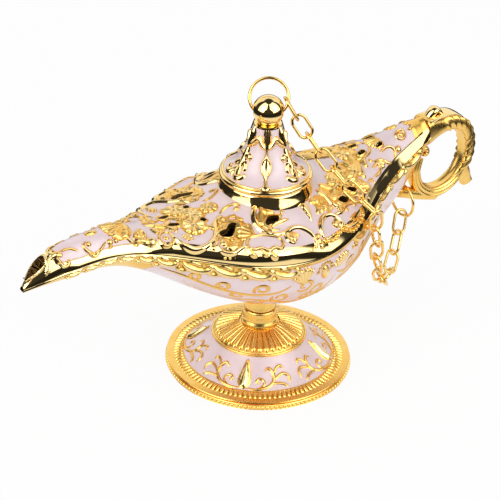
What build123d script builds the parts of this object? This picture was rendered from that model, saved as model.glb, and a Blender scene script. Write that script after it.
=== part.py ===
"""Genie lamp: a footed bowl with a long spout, a pierced cover, a lift-off lid and a retaining chain.

Frame: origin at the middle of the foot's underside, +Z up, -X to the spout, +X to the handle.
"""

import math
import os
from typing import NamedTuple

from build123d import *

# Body: reach of spout and tail from the stem axis, the rim, and the depths above and below it
SPOUT_REACH = 112.0
TAIL_REACH = 79.0
HALF_WIDTH = 35.0
RIM_HEIGHT = 66.0
SPOUT_SHEER = 12.2
TAIL_SHEER = 14.5
CROWN_RISE = 14.6
KEEL_DEPTH = 34.4
WALL = 1.6
PARTING_GAP = 0.2

# Foot: a hollow dish with a fluted dome and the lower half of the stem
FOOT_R = 37.0
FOOT_EDGE = 3.5
FOOT_WALL = 2.0
GADROON_OUT_R = 32.8
GADROON_IN_R = 30.5
GADROON_RISE = 1.0
DOME_R = 18.3
DOME_EDGE_HEIGHT = 13.9
DOME_TOP_HEIGHT = 18.9
DOME_BEAD_R = 0.55
FLUTES = 40
FLUTE_R = 0.85
STEM_R = 6.8
STEM_FLARE = 0.8
STEM_JOINT_HEIGHT = 25.4
STEM_BOSS_R = 6.0

# Screw that draws the foot up to the bowl
SCREW_R = 2.0
SCREW_HEAD_R = 3.7
SCREW_HEAD_HEIGHT = 2.4
SCREW_BITE = 8.0
SCREW_CLEARANCE = 0.3
THREAD_CLEARANCE = 0.05
SCREW_SLOT = 1.0
WASHER_R = 5.2
WASHER_THICKNESS = 0.8
PILLAR_R = 6.4
PILLAR_FOOT_HEIGHT = 8.6

# Neck and lid
NECK_R = 17.4
NECK_RISE = 19.4
NECK_BORE_R = 14.6
NECK_ROOT = 9.5
LID_BEAD_R = 1.25
LID_R = 18.5
LID_HEIGHT = 22.9
LID_TOP_R = 5.3
LID_WALL = 1.7
# Share of the cone's run left and of its rise gained, from the foot to the top
LID_TENT = [(1.0, 0.0), (0.55, 0.2), (0.25, 0.52), (0.0, 1.0)]
LID_SKIRT = 5.0
LID_SKIRT_WALL = 1.2
LID_FIT = 0.3
LID_SEAT_GAP = 0.05

# Finial ball with a cross hole, and the ring that swings in it
BALL_R = 6.13
BALL_FLAT_R = 2.6
SHANK_R = 2.0
SHANK_LENGTH = 5.0
SHANK_FIT = 0.02
RING_TURN = -38.0
RING_LEAN = 28.0
RING_R = 7.5
RING_CENTRE_RISE = 4.9
RING_WIRE = 1.2
RING_BEND_R = 1.0
RING_RUNNING_GAP = 0.06
RING_SINK_R = 2.3
RING_SINK_DEPTH = 1.6

# Chain: oval wire links from the finial ring, over the rim and up to a ring on the handle's arm
LINK_WIRE = 1.15
LINK_LENGTH = 11.3
LINK_WIDTH = 6.6
LINK_PLAY = 0.5
HOOK_PLAY = 0.4
SPAN_LINKS = 7
LOOP_LINKS = 10
RIM_CROSSING_X = 32.7
RIM_CROSSING_OUT = 4.4
RIM_CROSSING_RISE = 2.55
SPAN_TWIST = -11.3
LOOP_TWIST = -135.5
HOOK_SWING = 12.0
HANDLE_RING_R = 6.9
HANDLE_RING_GAP = 0.3
HANDLE_RING_SHARE = 0.7

# Handle: a scrolled bar behind the tail, with a thumb leaf, a spur and an arm under the tail
SEAM_GAP = 0.1
SEAT_GAP = 0.1
VOLUTE_R = 3.2
VOLUTE_WIDTH = 5.4
ARM_R = 2.4
ARM_REACH = 20.0
ARM_CLIMB = 8.2
LEAF_HEIGHT = 5.4
LEAF_LENGTH = 9.0
LEAF_WIDTH = 5.6
LEAF_ROOT = 2.0
LEAF_CREST_SHARE = 0.22
BAR_CORNER_SHARE = 0.42
SPUR_LENGTH = 8.5
SPUR_WIDTH = 4.2


class Station(NamedTuple):
    """A cross-section of the body: its place and its shares of the body's width, sheer and depths."""

    along: float
    wide: float
    sheer: float
    crown: float
    keel: float


STATIONS = [
    Station(-1.000, 0.030, 0.54, 0.04, 0.045),
    Station(-0.946, 0.115, 0.75, 0.36, 0.095),
    Station(-0.875, 0.160, 0.90, 0.51, 0.145),
    Station(-0.768, 0.190, 1.00, 0.53, 0.175),
    Station(-0.643, 0.240, 1.00, 0.48, 0.240),
    Station(-0.518, 0.370, 0.77, 0.41, 0.360),
    Station(-0.393, 0.570, 0.49, 0.45, 0.540),
    Station(-0.250, 0.830, 0.21, 0.70, 0.725),
    Station(-0.071, 1.000, 0.02, 0.99, 0.907),
    Station(0.152, 0.957, 0.00, 1.00, 0.960),
    Station(0.380, 0.743, 0.18, 0.84, 1.000),
    Station(0.557, 0.500, 0.39, 0.69, 0.933),
    Station(0.709, 0.314, 0.55, 0.66, 0.756),
    Station(0.861, 0.206, 0.76, 0.60, 0.550),
    Station(1.000, 0.154, 1.00, 0.46, 0.160),
]
# Handles of the section curves: share of the width at the rim and at the middle, share of the height
COVER_CURVE = (0.92, 0.50, 0.50)
BOWL_CURVE = (1.00, 0.60, 0.60)


class Bar(NamedTuple):
    """A section of the handle bar: offset from the tail's end on the rim, heading, width and thickness."""

    out: float
    up: float
    heading: float
    width: float
    thick: float


HANDLE_BAR = [
    Bar(0.0, 0.6, 0.0, 10.6, 12.0),
    Bar(6.5, 1.6, 10.0, 9.0, 9.4),
    Bar(13.5, 1.6, -8.0, 8.2, 7.6),
    Bar(20.5, -1.8, -44.0, 7.4, 6.6),
    Bar(24.4, -9.0, -78.0, 7.0, 6.2),
    Bar(24.4, -17.6, -101.0, 6.8, 6.0),
    Bar(20.6, -25.2, -133.0, 6.6, 6.0),
    Bar(13.4, -29.6, -165.0, 6.4, 5.8),
    Bar(5.6, -29.4, -201.0, 6.0, 5.4),
    Bar(-0.6, -24.8, -237.0, 5.6, 4.8),
    Bar(-2.8, -18.0, -265.0, 5.2, 4.4),
    Bar(-1.4, -11.6, -295.0, 4.8, 4.0),
]
VOLUTE_AT = (0.8, -9.2)
ARM_FROM = (6.0, -31.5)
SPUR_AT = (22.4, -23.0)
SPUR_HEADING = -72.0
LEAF_AT = (2.0, 6.4)


class Piercing(NamedTuple):
    """A tapered hole through the cover, cut on both sides: its middle, length, end radii and turn."""

    x: float
    y: float
    length: float
    wide_r: float
    narrow_r: float
    turn: float


PIERCINGS = [
    Piercing(-34.0, 8.2, 3.0, 1.7, 1.0, 150.0),
    Piercing(-28.0, 16.4, 4.4, 2.9, 1.5, 70.0),
    Piercing(-11.5, 21.4, 5.0, 2.8, 1.5, 20.0),
    Piercing(11.0, 21.4, 5.4, 2.2, 1.2, 160.0),
    Piercing(24.0, 17.4, 4.4, 2.2, 1.3, 130.0),
    Piercing(48.5, 3.9, 4.0, 1.6, 1.0, 190.0),
]
MOUTH_MIDDLE = 0.5
MOUTH_LENGTH = 6.6
MOUTH_WIDE_R = 2.7
MOUTH_NARROW_R = 0.9
MOUTH_DEPTH = 6.0

OVERSHOOT = 1.0
FAR = 40.0
HANG_ROUNDS = 60


# Shape law of the body
def station_x(s):
    return s.along * (SPOUT_REACH if s.along < 0 else TAIL_REACH)


def station_half(s):
    return s.wide * HALF_WIDTH


def station_rim(s):
    return RIM_HEIGHT + s.sheer * (SPOUT_SHEER if s.along < 0 else TAIL_SHEER)


def station_crown(s):
    return station_rim(s) + s.crown * CROWN_RISE


def station_keel(s):
    return station_rim(s) - s.keel * KEEL_DEPTH


def between_stations(x, value):
    """A station value at x, read straight between the two stations beside it."""
    for a, b in zip(STATIONS, STATIONS[1:]):
        if station_x(a) <= x <= station_x(b):
            share = (x - station_x(a)) / (station_x(b) - station_x(a))
            return value(a) + share * (value(b) - value(a))
    raise ValueError("x lies outside the body")


def draw_section(half, edge, peak, curve):
    """A closed section: two mirrored curves from the rim to the middle, and the straight rim line."""
    at_rim, at_middle, lift = curve
    flank = edge + lift * (peak - edge)
    with BuildLine() as outline:
        Bezier((half, edge), (half * at_rim, flank), (half * at_middle, peak), (0, peak))
        Bezier((0, peak), (-half * at_middle, peak), (-half * at_rim, flank), (-half, edge))
        Line((-half, edge), (half, edge))
    make_face(outline.edges())


def cover_sections(stations, inset=0.0, edge_shift=0.0):
    sections = []
    for s in stations:
        edge = station_rim(s) + edge_shift
        with BuildSketch(Plane.YZ.offset(station_x(s))) as section:
            draw_section(station_half(s) - inset, edge, station_crown(s) - inset, COVER_CURVE)
        sections.append(section.sketch)
    return sections


def bowl_sections(stations, inset=0.0, edge_shift=0.0):
    sections = []
    for s in stations:
        edge = station_rim(s) + edge_shift
        with BuildSketch(Plane.YZ.offset(station_x(s))) as section:
            draw_section(station_half(s) - inset, edge, station_keel(s) + inset, BOWL_CURVE)
        sections.append(section.sketch)
    return sections


TIP, CREST = STATIONS[0], STATIONS[2]
MOUTH_START = Vector(station_x(TIP), 0, station_crown(TIP))
MOUTH_END = Vector(station_x(CREST), 0, station_crown(CREST))
MOUTH_ALONG = (MOUTH_END - MOUTH_START).normalized()
MOUTH_PLANE = Plane(
    origin=MOUTH_START + (MOUTH_END - MOUTH_START) * MOUTH_MIDDLE,
    x_dir=MOUTH_ALONG,
    z_dir=MOUTH_ALONG.cross(Vector(0, -1, 0)),
)


def draw_teardrop(length, wide_r, narrow_r):
    """Two round ends joined by straight flanks, with the wide end towards +X."""
    lean = math.acos((wide_r - narrow_r) / length)
    wide_at = length / 2
    ends = []
    for side in (1, -1):
        ray = Vector(math.cos(lean), side * math.sin(lean))
        ends.append((Vector(wide_at, 0) + ray * wide_r, Vector(-wide_at, 0) + ray * narrow_r))
    (wide_a, narrow_a), (wide_b, narrow_b) = ends
    with BuildLine() as outline:
        Line(wide_a, narrow_a)
        ThreePointArc(narrow_a, (-wide_at - narrow_r, 0), narrow_b)
        Line(narrow_b, wide_b)
        ThreePointArc(wide_b, (wide_at + wide_r, 0), wide_a)
    make_face(outline.edges())


# Foot
with BuildPart() as base_foot:
    with BuildSketch(Plane.XZ):
        with BuildLine():
            Polyline(
                (SCREW_R + SCREW_CLEARANCE, STEM_JOINT_HEIGHT),
                (STEM_R, STEM_JOINT_HEIGHT),
                (STEM_R, DOME_TOP_HEIGHT + 2 * STEM_FLARE),
                (STEM_R + STEM_FLARE, DOME_TOP_HEIGHT + STEM_FLARE),
                (STEM_R + STEM_FLARE, DOME_TOP_HEIGHT),
            )
            ThreePointArc(
                (STEM_R + STEM_FLARE, DOME_TOP_HEIGHT),
                ((STEM_R + DOME_R) / 2, (DOME_TOP_HEIGHT + DOME_EDGE_HEIGHT) / 2 + STEM_FLARE),
                (DOME_R, DOME_EDGE_HEIGHT),
            )
            ThreePointArc(
                (DOME_R, DOME_EDGE_HEIGHT),
                (
                    (DOME_R + GADROON_IN_R) / 2,
                    (DOME_EDGE_HEIGHT + FOOT_EDGE + GADROON_RISE) / 2 - STEM_FLARE,
                ),
                (GADROON_IN_R, FOOT_EDGE + GADROON_RISE),
            )
            ThreePointArc(
                (GADROON_IN_R, FOOT_EDGE + GADROON_RISE),
                ((GADROON_IN_R + GADROON_OUT_R) / 2, FOOT_EDGE + GADROON_RISE),
                (GADROON_OUT_R, FOOT_EDGE),
            )
            Polyline(
                (GADROON_OUT_R, FOOT_EDGE),
                (FOOT_R, FOOT_EDGE),
                (FOOT_R, 0),
                (FOOT_R - FOOT_WALL, 0),
                (FOOT_R - FOOT_WALL, FOOT_EDGE - FOOT_WALL),
                (GADROON_IN_R, FOOT_EDGE + GADROON_RISE - FOOT_WALL),
                (DOME_R - FOOT_WALL, DOME_EDGE_HEIGHT - FOOT_WALL),
                (PILLAR_R, DOME_TOP_HEIGHT - FOOT_WALL),
                (PILLAR_R, PILLAR_FOOT_HEIGHT),
                (SCREW_R + SCREW_CLEARANCE, PILLAR_FOOT_HEIGHT),
                (SCREW_R + SCREW_CLEARANCE, STEM_JOINT_HEIGHT),
            )
        make_face()
    revolve(axis=Axis.Z)
    with BuildSketch(Plane.XZ):
        with Locations((DOME_R, DOME_EDGE_HEIGHT)):
            Circle(DOME_BEAD_R)
    revolve(axis=Axis.Z)
    flute_from = Vector(DOME_R - 2 * DOME_BEAD_R, 0, DOME_EDGE_HEIGHT + FLUTE_R)
    flute_to = Vector(STEM_R + 2 * STEM_FLARE, 0, DOME_TOP_HEIGHT + FLUTE_R)
    flute_plane = Plane(origin=flute_from, z_dir=flute_to - flute_from)
    with PolarLocations(0, FLUTES):
        add(
            Solid.make_cone(FLUTE_R, FLUTE_R / 2, (flute_to - flute_from).length, flute_plane),
            mode=Mode.SUBTRACT,
        )

# Washer and screw under the foot
screw_head_top = PILLAR_FOOT_HEIGHT - WASHER_THICKNESS
with BuildPart() as base_washer:
    with BuildSketch(Plane.XY.offset(screw_head_top)):
        Circle(WASHER_R)
        Circle(SCREW_R + SCREW_CLEARANCE, mode=Mode.SUBTRACT)
    extrude(amount=WASHER_THICKNESS)

with BuildPart() as base_screw:
    with BuildSketch(Plane.XY.offset(screw_head_top - SCREW_HEAD_HEIGHT)):
        Circle(SCREW_HEAD_R)
    extrude(amount=SCREW_HEAD_HEIGHT)
    fillet(base_screw.edges().group_by(Axis.Z)[0], SCREW_HEAD_HEIGHT / 3)
    with BuildSketch(Plane.XY.offset(screw_head_top)):
        Circle(SCREW_R)
    extrude(amount=STEM_JOINT_HEIGHT + SCREW_BITE - screw_head_top)
    with BuildSketch(Plane.XY.offset(screw_head_top - SCREW_HEAD_HEIGHT)):
        Rectangle(2 * SCREW_HEAD_R, SCREW_SLOT)
    extrude(amount=SCREW_SLOT, mode=Mode.SUBTRACT)

# Bowl: the lower shell with the underside of the spout, and the upper half of the stem
keel_over_stem = between_stations(0, station_keel)
with BuildPart() as bowl:
    loft(bowl_sections(STATIONS, edge_shift=-PARTING_GAP / 2))
    loft(
        bowl_sections(STATIONS[1:-1], inset=WALL, edge_shift=OVERSHOOT),
        mode=Mode.SUBTRACT,
    )
    with BuildSketch(Plane.XY.offset(STEM_JOINT_HEIGHT)):
        Circle(STEM_BOSS_R)
    extrude(amount=keel_over_stem + 2 * WALL - STEM_JOINT_HEIGHT)
    with BuildSketch(Plane.XY.offset(STEM_JOINT_HEIGHT)):
        Circle(SCREW_R + THREAD_CLEARANCE)
    extrude(amount=SCREW_BITE + THREAD_CLEARANCE, mode=Mode.SUBTRACT)
    with BuildSketch(MOUTH_PLANE.offset(OVERSHOOT)):
        draw_teardrop(MOUTH_LENGTH, MOUTH_WIDE_R, MOUTH_NARROW_R)
    extrude(amount=-MOUTH_DEPTH - OVERSHOOT, mode=Mode.SUBTRACT)

# Cover: the pierced upper shell with the top of the spout, and the neck for the lid
neck_top = RIM_HEIGHT + NECK_RISE
with BuildPart() as top_cover:
    loft(cover_sections(STATIONS, edge_shift=PARTING_GAP / 2))
    loft(
        cover_sections(STATIONS[1:-1], inset=WALL, edge_shift=-OVERSHOOT),
        mode=Mode.SUBTRACT,
    )
    with BuildSketch(Plane.XY.offset(neck_top - NECK_ROOT)):
        Circle(NECK_R)
    extrude(amount=NECK_ROOT)
    with BuildSketch(Plane.XY.offset(neck_top)):
        Circle(NECK_BORE_R)
    extrude(amount=-FAR / 2, mode=Mode.SUBTRACT)
    for hole in PIERCINGS:
        for side in (1, -1):
            turned = Plane(
                origin=(hole.x, side * hole.y, RIM_HEIGHT),
                x_dir=Vector(1, 0, 0).rotate(Axis.Z, side * hole.turn),
                z_dir=(0, 0, 1),
            )
            with BuildSketch(turned):
                draw_teardrop(hole.length, hole.wide_r, hole.narrow_r)
            extrude(amount=FAR, mode=Mode.SUBTRACT)
    with BuildSketch(MOUTH_PLANE.offset(OVERSHOOT)):
        draw_teardrop(MOUTH_LENGTH, MOUTH_WIDE_R, MOUTH_NARROW_R)
    extrude(amount=-MOUTH_DEPTH - OVERSHOOT, mode=Mode.SUBTRACT)

# Handle
tail_rim = station_rim(STATIONS[-1])
handle_x = TAIL_REACH + SEAM_GAP


def handle_point(out, up):
    return Vector(handle_x + out, 0, tail_rim + up)


def heading_vector(heading):
    return Vector(math.cos(math.radians(heading)), 0, math.sin(math.radians(heading)))


with BuildPart() as body_room:
    loft(bowl_sections(STATIONS, inset=-SEAT_GAP, edge_shift=SEAT_GAP))

with BuildPart() as handle:
    for bar in HANDLE_BAR:
        across = Plane(
            origin=handle_point(bar.out, bar.up),
            x_dir=(0, 1, 0),
            z_dir=heading_vector(bar.heading),
        )
        with BuildSketch(across):
            RectangleRounded(bar.width, bar.thick, BAR_CORNER_SHARE * min(bar.width, bar.thick))
    loft()
    volute_middle = handle_point(*VOLUTE_AT)
    with BuildSketch(Plane(origin=volute_middle, z_dir=(0, 1, 0))):
        Circle(VOLUTE_R)
    extrude(amount=VOLUTE_WIDTH / 2, both=True)
    arm_root = handle_point(*ARM_FROM)
    arm_vector = Vector(-ARM_REACH, 0, ARM_CLIMB)
    with BuildSketch(Plane(origin=arm_root, z_dir=arm_vector)):
        Circle(ARM_R)
    extrude(amount=arm_vector.length)
    spur_root = handle_point(*SPUR_AT)
    spur_side = Plane(origin=spur_root, x_dir=heading_vector(SPUR_HEADING), z_dir=(0, -1, 0))
    with BuildSketch(spur_side):
        with BuildLine():
            Spline((0, SPUR_WIDTH), (SPUR_LENGTH / 2, SPUR_WIDTH / 2), (SPUR_LENGTH, SPUR_WIDTH / 2))
            Line((SPUR_LENGTH, SPUR_WIDTH / 2), (SPUR_LENGTH, 0))
            Spline((SPUR_LENGTH, 0), (SPUR_LENGTH / 2, -SPUR_WIDTH / 2), (0, -SPUR_WIDTH))
            Line((0, -SPUR_WIDTH), (0, SPUR_WIDTH))
        make_face()
    extrude(amount=SPUR_WIDTH / 2, both=True)
    leaf_side = Plane(origin=handle_point(*LEAF_AT), x_dir=(1, 0, 0), z_dir=(0, -1, 0))
    leaf_crest = (LEAF_CREST_SHARE * LEAF_LENGTH, LEAF_HEIGHT)
    with BuildSketch(leaf_side):
        with BuildLine():
            Spline((-LEAF_ROOT, -LEAF_ROOT), (0, LEAF_HEIGHT / 2), leaf_crest)
            Spline(leaf_crest, (LEAF_LENGTH / 2, 0.8 * LEAF_HEIGHT), (LEAF_LENGTH, -LEAF_ROOT))
            Line((LEAF_LENGTH, -LEAF_ROOT), (-LEAF_ROOT, -LEAF_ROOT))
        make_face()
    extrude(amount=LEAF_WIDTH / 2, both=True)
    add(body_room.part, mode=Mode.SUBTRACT)

# Lid
lid_base = neck_top + LID_SEAT_GAP
lid_top = lid_base + LID_HEIGHT
cone_foot_r = LID_R - LID_BEAD_R
cone_foot = lid_base + 2 * LID_BEAD_R
skirt_r = NECK_BORE_R - LID_FIT
with BuildPart() as lid:
    cone_rise = lid_top - cone_foot
    cone_run = cone_foot_r - LID_TOP_R
    tent = [(LID_TOP_R + run * cone_run, cone_foot + rise * cone_rise) for run, rise in LID_TENT]
    hollow = [(r - LID_WALL, z - LID_WALL) for r, z in tent]
    with BuildSketch(Plane.XZ):
        with BuildLine():
            Line((0, lid_top), (LID_TOP_R, lid_top))
            Spline(*reversed(tent))
            Polyline(
                tent[0],
                (cone_foot_r, lid_base),
                (skirt_r, lid_base),
                (skirt_r, lid_base - LID_SKIRT),
                (skirt_r - LID_SKIRT_WALL, lid_base - LID_SKIRT),
                (skirt_r - LID_SKIRT_WALL, hollow[0][1]),
                hollow[0],
            )
            Spline(*hollow)
            Polyline(hollow[-1], (0, hollow[-1][1]), (0, lid_top))
        make_face()
    revolve(axis=Axis.Z)
    with BuildSketch(Plane.XZ):
        with Locations((cone_foot_r, lid_base + LID_BEAD_R)):
            Circle(LID_BEAD_R)
    revolve(axis=Axis.Z)
    with BuildSketch(Plane.XY.offset(lid_top)):
        Circle(SHANK_R + SHANK_FIT)
    extrude(amount=-FAR / 4, mode=Mode.SUBTRACT)

# Finial ball on its shank, with the cross hole for the ring
ball_middle = lid_top + math.sqrt(BALL_R**2 - BALL_FLAT_R**2)
pin_way = Vector(1, 0, 0).rotate(Axis.Z, RING_TURN)
ring_up = Vector(0, 0, 1).rotate(Axis((0, 0, 0), pin_way), -RING_LEAN)
ring_plane = Plane(origin=(0, 0, ball_middle), x_dir=pin_way, z_dir=pin_way.cross(ring_up))
pin_plane = Plane(origin=(0, 0, ball_middle), z_dir=pin_way)
with BuildPart() as finial_ball:
    with Locations((0, 0, ball_middle)):
        Sphere(BALL_R)
    with BuildSketch(Plane.XY.offset(lid_top)):
        Circle(2 * BALL_R)
    extrude(amount=-2 * BALL_R, mode=Mode.SUBTRACT)
    with BuildSketch(Plane.XY.offset(lid_top)):
        Circle(SHANK_R)
    extrude(amount=-SHANK_LENGTH)
    with BuildSketch(pin_plane):
        Circle(RING_WIRE / 2 + RING_RUNNING_GAP)
    extrude(amount=2 * BALL_R, both=True, mode=Mode.SUBTRACT)
    for way in (1, -1):
        sink = Plane(origin=Vector(0, 0, ball_middle) + pin_way * (way * BALL_R), z_dir=pin_way * -way)
        hole_r = RING_WIRE / 2 + RING_RUNNING_GAP
        add(Solid.make_cone(RING_SINK_R, hole_r, RING_SINK_DEPTH, sink), mode=Mode.SUBTRACT)

# Finial ring: a round bail whose straight foot is the hinge pin in the ball
bend_x = math.sqrt((RING_R - RING_BEND_R) ** 2 - (RING_CENTRE_RISE - RING_BEND_R) ** 2)
bend_turn = math.degrees(math.atan2(bend_x, RING_CENTRE_RISE - RING_BEND_R))
bend_share = RING_R / (RING_R - RING_BEND_R)
bend_end = (bend_x * bend_share, RING_CENTRE_RISE - (RING_CENTRE_RISE - RING_BEND_R) * bend_share)
bail_arcs = [
    ((bend_x, 0), 0, (bend_x, RING_BEND_R), bend_turn),
    (bend_end, bend_turn, (0, RING_CENTRE_RISE), 360 - 2 * bend_turn),
    ((-bend_end[0], bend_end[1]), -bend_turn, (-bend_x, RING_BEND_R), bend_turn),
]
with BuildPart() as finial_ring:
    with BuildSketch(pin_plane):
        Circle(RING_WIRE / 2)
    extrude(amount=bend_x, both=True)
    for start, heading, middle, turn in bail_arcs:
        wire_way = ring_plane.x_dir.rotate(Axis((0, 0, 0), ring_plane.z_dir), heading)
        with BuildSketch(Plane(origin=ring_plane.from_local_coords(start), z_dir=wire_way)):
            Circle(RING_WIRE / 2)
        revolve(axis=Axis(ring_plane.from_local_coords(middle), ring_plane.z_dir), revolution_arc=turn)

# Ring round the handle's arm
arm_middle = arm_root + arm_vector * HANDLE_RING_SHARE
handle_ring_middle = arm_middle + Vector(0, 0, ARM_R + HANDLE_RING_GAP + RING_WIRE / 2 - HANDLE_RING_R)
with BuildPart() as handle_ring:
    with BuildSketch(Plane(origin=handle_ring_middle, x_dir=(0, 0, 1), z_dir=(0, 1, 0))):
        with Locations((HANDLE_RING_R, 0)):
            Circle(RING_WIRE / 2)
    revolve(axis=Axis(handle_ring_middle, (1, 0, 0)))


# Chain: pivots between the links, which hang from the finial ring to the rim and from there to the handle
def hang(start, end, links, pitch):
    """Pivots of equal links hanging between two points: each link's slope grows by a step of its weight."""
    across = Vector(end.X - start.X, end.Y - start.Y, 0)
    rise = end.Z - start.Z

    def steps(pull, first):
        slopes = [(first + n) / pull for n in range(links)]
        return [Vector(pitch / math.hypot(1, q), pitch * q / math.hypot(1, q)) for q in slopes]

    def balanced(pull):
        low, high = -FAR * links, FAR * links
        for _ in range(HANG_ROUNDS):
            first = (low + high) / 2
            if sum(step.Y for step in steps(pull, first)) < rise:
                low = first
            else:
                high = first
        return steps(pull, first)

    slack, taut = 1 / FAR, FAR * links
    for _ in range(HANG_ROUNDS):
        pull = math.sqrt(slack * taut)
        if sum(step.X for step in balanced(pull)) < across.length:
            slack = pull
        else:
            taut = pull
    pivots = [start]
    for step in balanced(pull):
        pivots.append(pivots[-1] + across.normalized() * step.X + Vector(0, 0, step.Y))
    return pivots


link_pitch = LINK_LENGTH - 2 * LINK_WIRE - LINK_PLAY
half_joint = (LINK_WIRE + LINK_PLAY) / 2
hook_angle = math.radians(-HOOK_SWING)
hook = ring_plane.from_local_coords(
    Vector(RING_R * math.cos(hook_angle), RING_CENTRE_RISE + RING_R * math.sin(hook_angle), 0)
)
crossing_half = between_stations(RIM_CROSSING_X, station_half)
crossing_rim = between_stations(RIM_CROSSING_X, station_rim)
crossing = Vector(RIM_CROSSING_X, -crossing_half - RIM_CROSSING_OUT, crossing_rim + RIM_CROSSING_RISE)
chain_start = hook - (crossing - hook).normalized() * (half_joint + HOOK_PLAY)
chain_end = handle_ring_middle + Vector(0, 0, half_joint + HOOK_PLAY - HANDLE_RING_R)
span_links = max(SPAN_LINKS, math.ceil((crossing - chain_start).length / link_pitch))
chain_pivots = hang(chain_start, crossing, span_links, link_pitch)
chain_pivots += hang(crossing, chain_end, LOOP_LINKS, link_pitch)[1:]
ring_face = pin_way.cross(Vector(0, 0, -1))
loop_way = Vector(chain_end.X - crossing.X, chain_end.Y - crossing.Y, 0).normalized()
loop_side = Vector(0, 0, 1).cross(loop_way)


def build_link(a, b, reference, turn):
    """An oval wire link from pivot a to pivot b, its width turned so far from the reference."""
    along = (b - a).normalized()
    level = (reference - along * reference.dot(along)).normalized()
    wide = level.rotate(Axis((0, 0, 0), along), turn)
    plane = Plane(origin=(a + b) * 0.5, x_dir=along, z_dir=along.cross(wide))
    end_r = (LINK_WIDTH - LINK_WIRE) / 2
    half_run = (LINK_LENGTH - LINK_WIDTH) / 2
    with BuildPart() as link:
        with BuildLine(plane) as oval:
            Line((-half_run, end_r), (half_run, end_r))
            ThreePointArc((half_run, end_r), (half_run + end_r, 0), (half_run, -end_r))
            Line((half_run, -end_r), (-half_run, -end_r))
            ThreePointArc((-half_run, -end_r), (-half_run - end_r, 0), (-half_run, end_r))
        with BuildSketch(Plane(origin=plane.from_local_coords(Vector(-half_run, end_r, 0)), z_dir=along)):
            Circle(LINK_WIRE / 2)
        sweep(path=oval.wires()[0])
    return link.part


pieces = {
    "base_foot": base_foot.part,
    "base_washer": base_washer.part,
    "base_screw": base_screw.part,
    "bowl": bowl.part,
    "top_cover": top_cover.part,
    "handle": handle.part,
    "lid": lid.part,
    "finial_ball": finial_ball.part,
    "finial_ring": finial_ring.part,
    "handle_ring": handle_ring.part,
}
for n, (a, b) in enumerate(zip(chain_pivots, chain_pivots[1:])):
    quarter = 90.0 * (n % 2)
    if n < span_links:
        link = build_link(a, b, ring_face, quarter + SPAN_TWIST)
    else:
        link = build_link(a, b, loop_side, quarter + LOOP_TWIST)
    pieces[f"chain_link_{n + 1:02d}"] = link

os.makedirs("parts", exist_ok=True)
for name, piece in pieces.items():
    piece.label = name
    export_step(piece, f"parts/{name}.step")
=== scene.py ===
"""Genie lamp: gilt casting with pearl enamel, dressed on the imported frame."""
import math

import bmesh
import bpy
import numpy as np
from mathutils import Matrix, Vector
from mathutils.kdtree import KDTree


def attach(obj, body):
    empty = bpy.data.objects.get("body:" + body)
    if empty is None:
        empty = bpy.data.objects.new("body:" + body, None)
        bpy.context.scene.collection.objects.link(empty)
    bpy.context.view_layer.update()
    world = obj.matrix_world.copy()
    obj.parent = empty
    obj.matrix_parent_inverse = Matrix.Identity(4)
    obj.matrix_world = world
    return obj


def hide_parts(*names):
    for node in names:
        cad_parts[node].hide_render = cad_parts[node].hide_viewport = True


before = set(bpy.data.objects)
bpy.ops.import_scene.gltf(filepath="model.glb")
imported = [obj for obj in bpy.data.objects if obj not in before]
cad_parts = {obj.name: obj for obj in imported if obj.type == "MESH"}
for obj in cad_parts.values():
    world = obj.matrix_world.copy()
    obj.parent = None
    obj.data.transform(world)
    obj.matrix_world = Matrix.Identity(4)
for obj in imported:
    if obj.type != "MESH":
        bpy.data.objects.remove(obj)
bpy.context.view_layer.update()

MM = 0.001
TAU = 2 * math.pi
BUMP_DEPTH = 0.0002
CLOUD_ROUGHNESS = 0.55


# Shader maths as plain expressions
class Value:
    """A number socket that can be added, multiplied and so on."""

    def __init__(self, finish, socket):
        self.finish = finish
        self.socket = socket

    def math(self, operation, a, b=0.0):
        return self.finish.node("ShaderNodeMath", {"operation": operation}, {0: a, 1: b})

    def __add__(self, other):
        return self.math("ADD", self, other)

    def __sub__(self, other):
        return self.math("SUBTRACT", self, other)

    def __rsub__(self, other):
        return self.math("SUBTRACT", other, self)

    def __mul__(self, other):
        return self.math("MULTIPLY", self, other)

    def ramp(self, low, high):
        """0 below low, 1 above high, smooth between."""
        settings = {"interpolation_type": "SMOOTHSTEP"}
        return self.finish.node("ShaderNodeMapRange", settings, {0: self, 1: low, 2: high, 3: 0.0, 4: 1.0})


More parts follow.
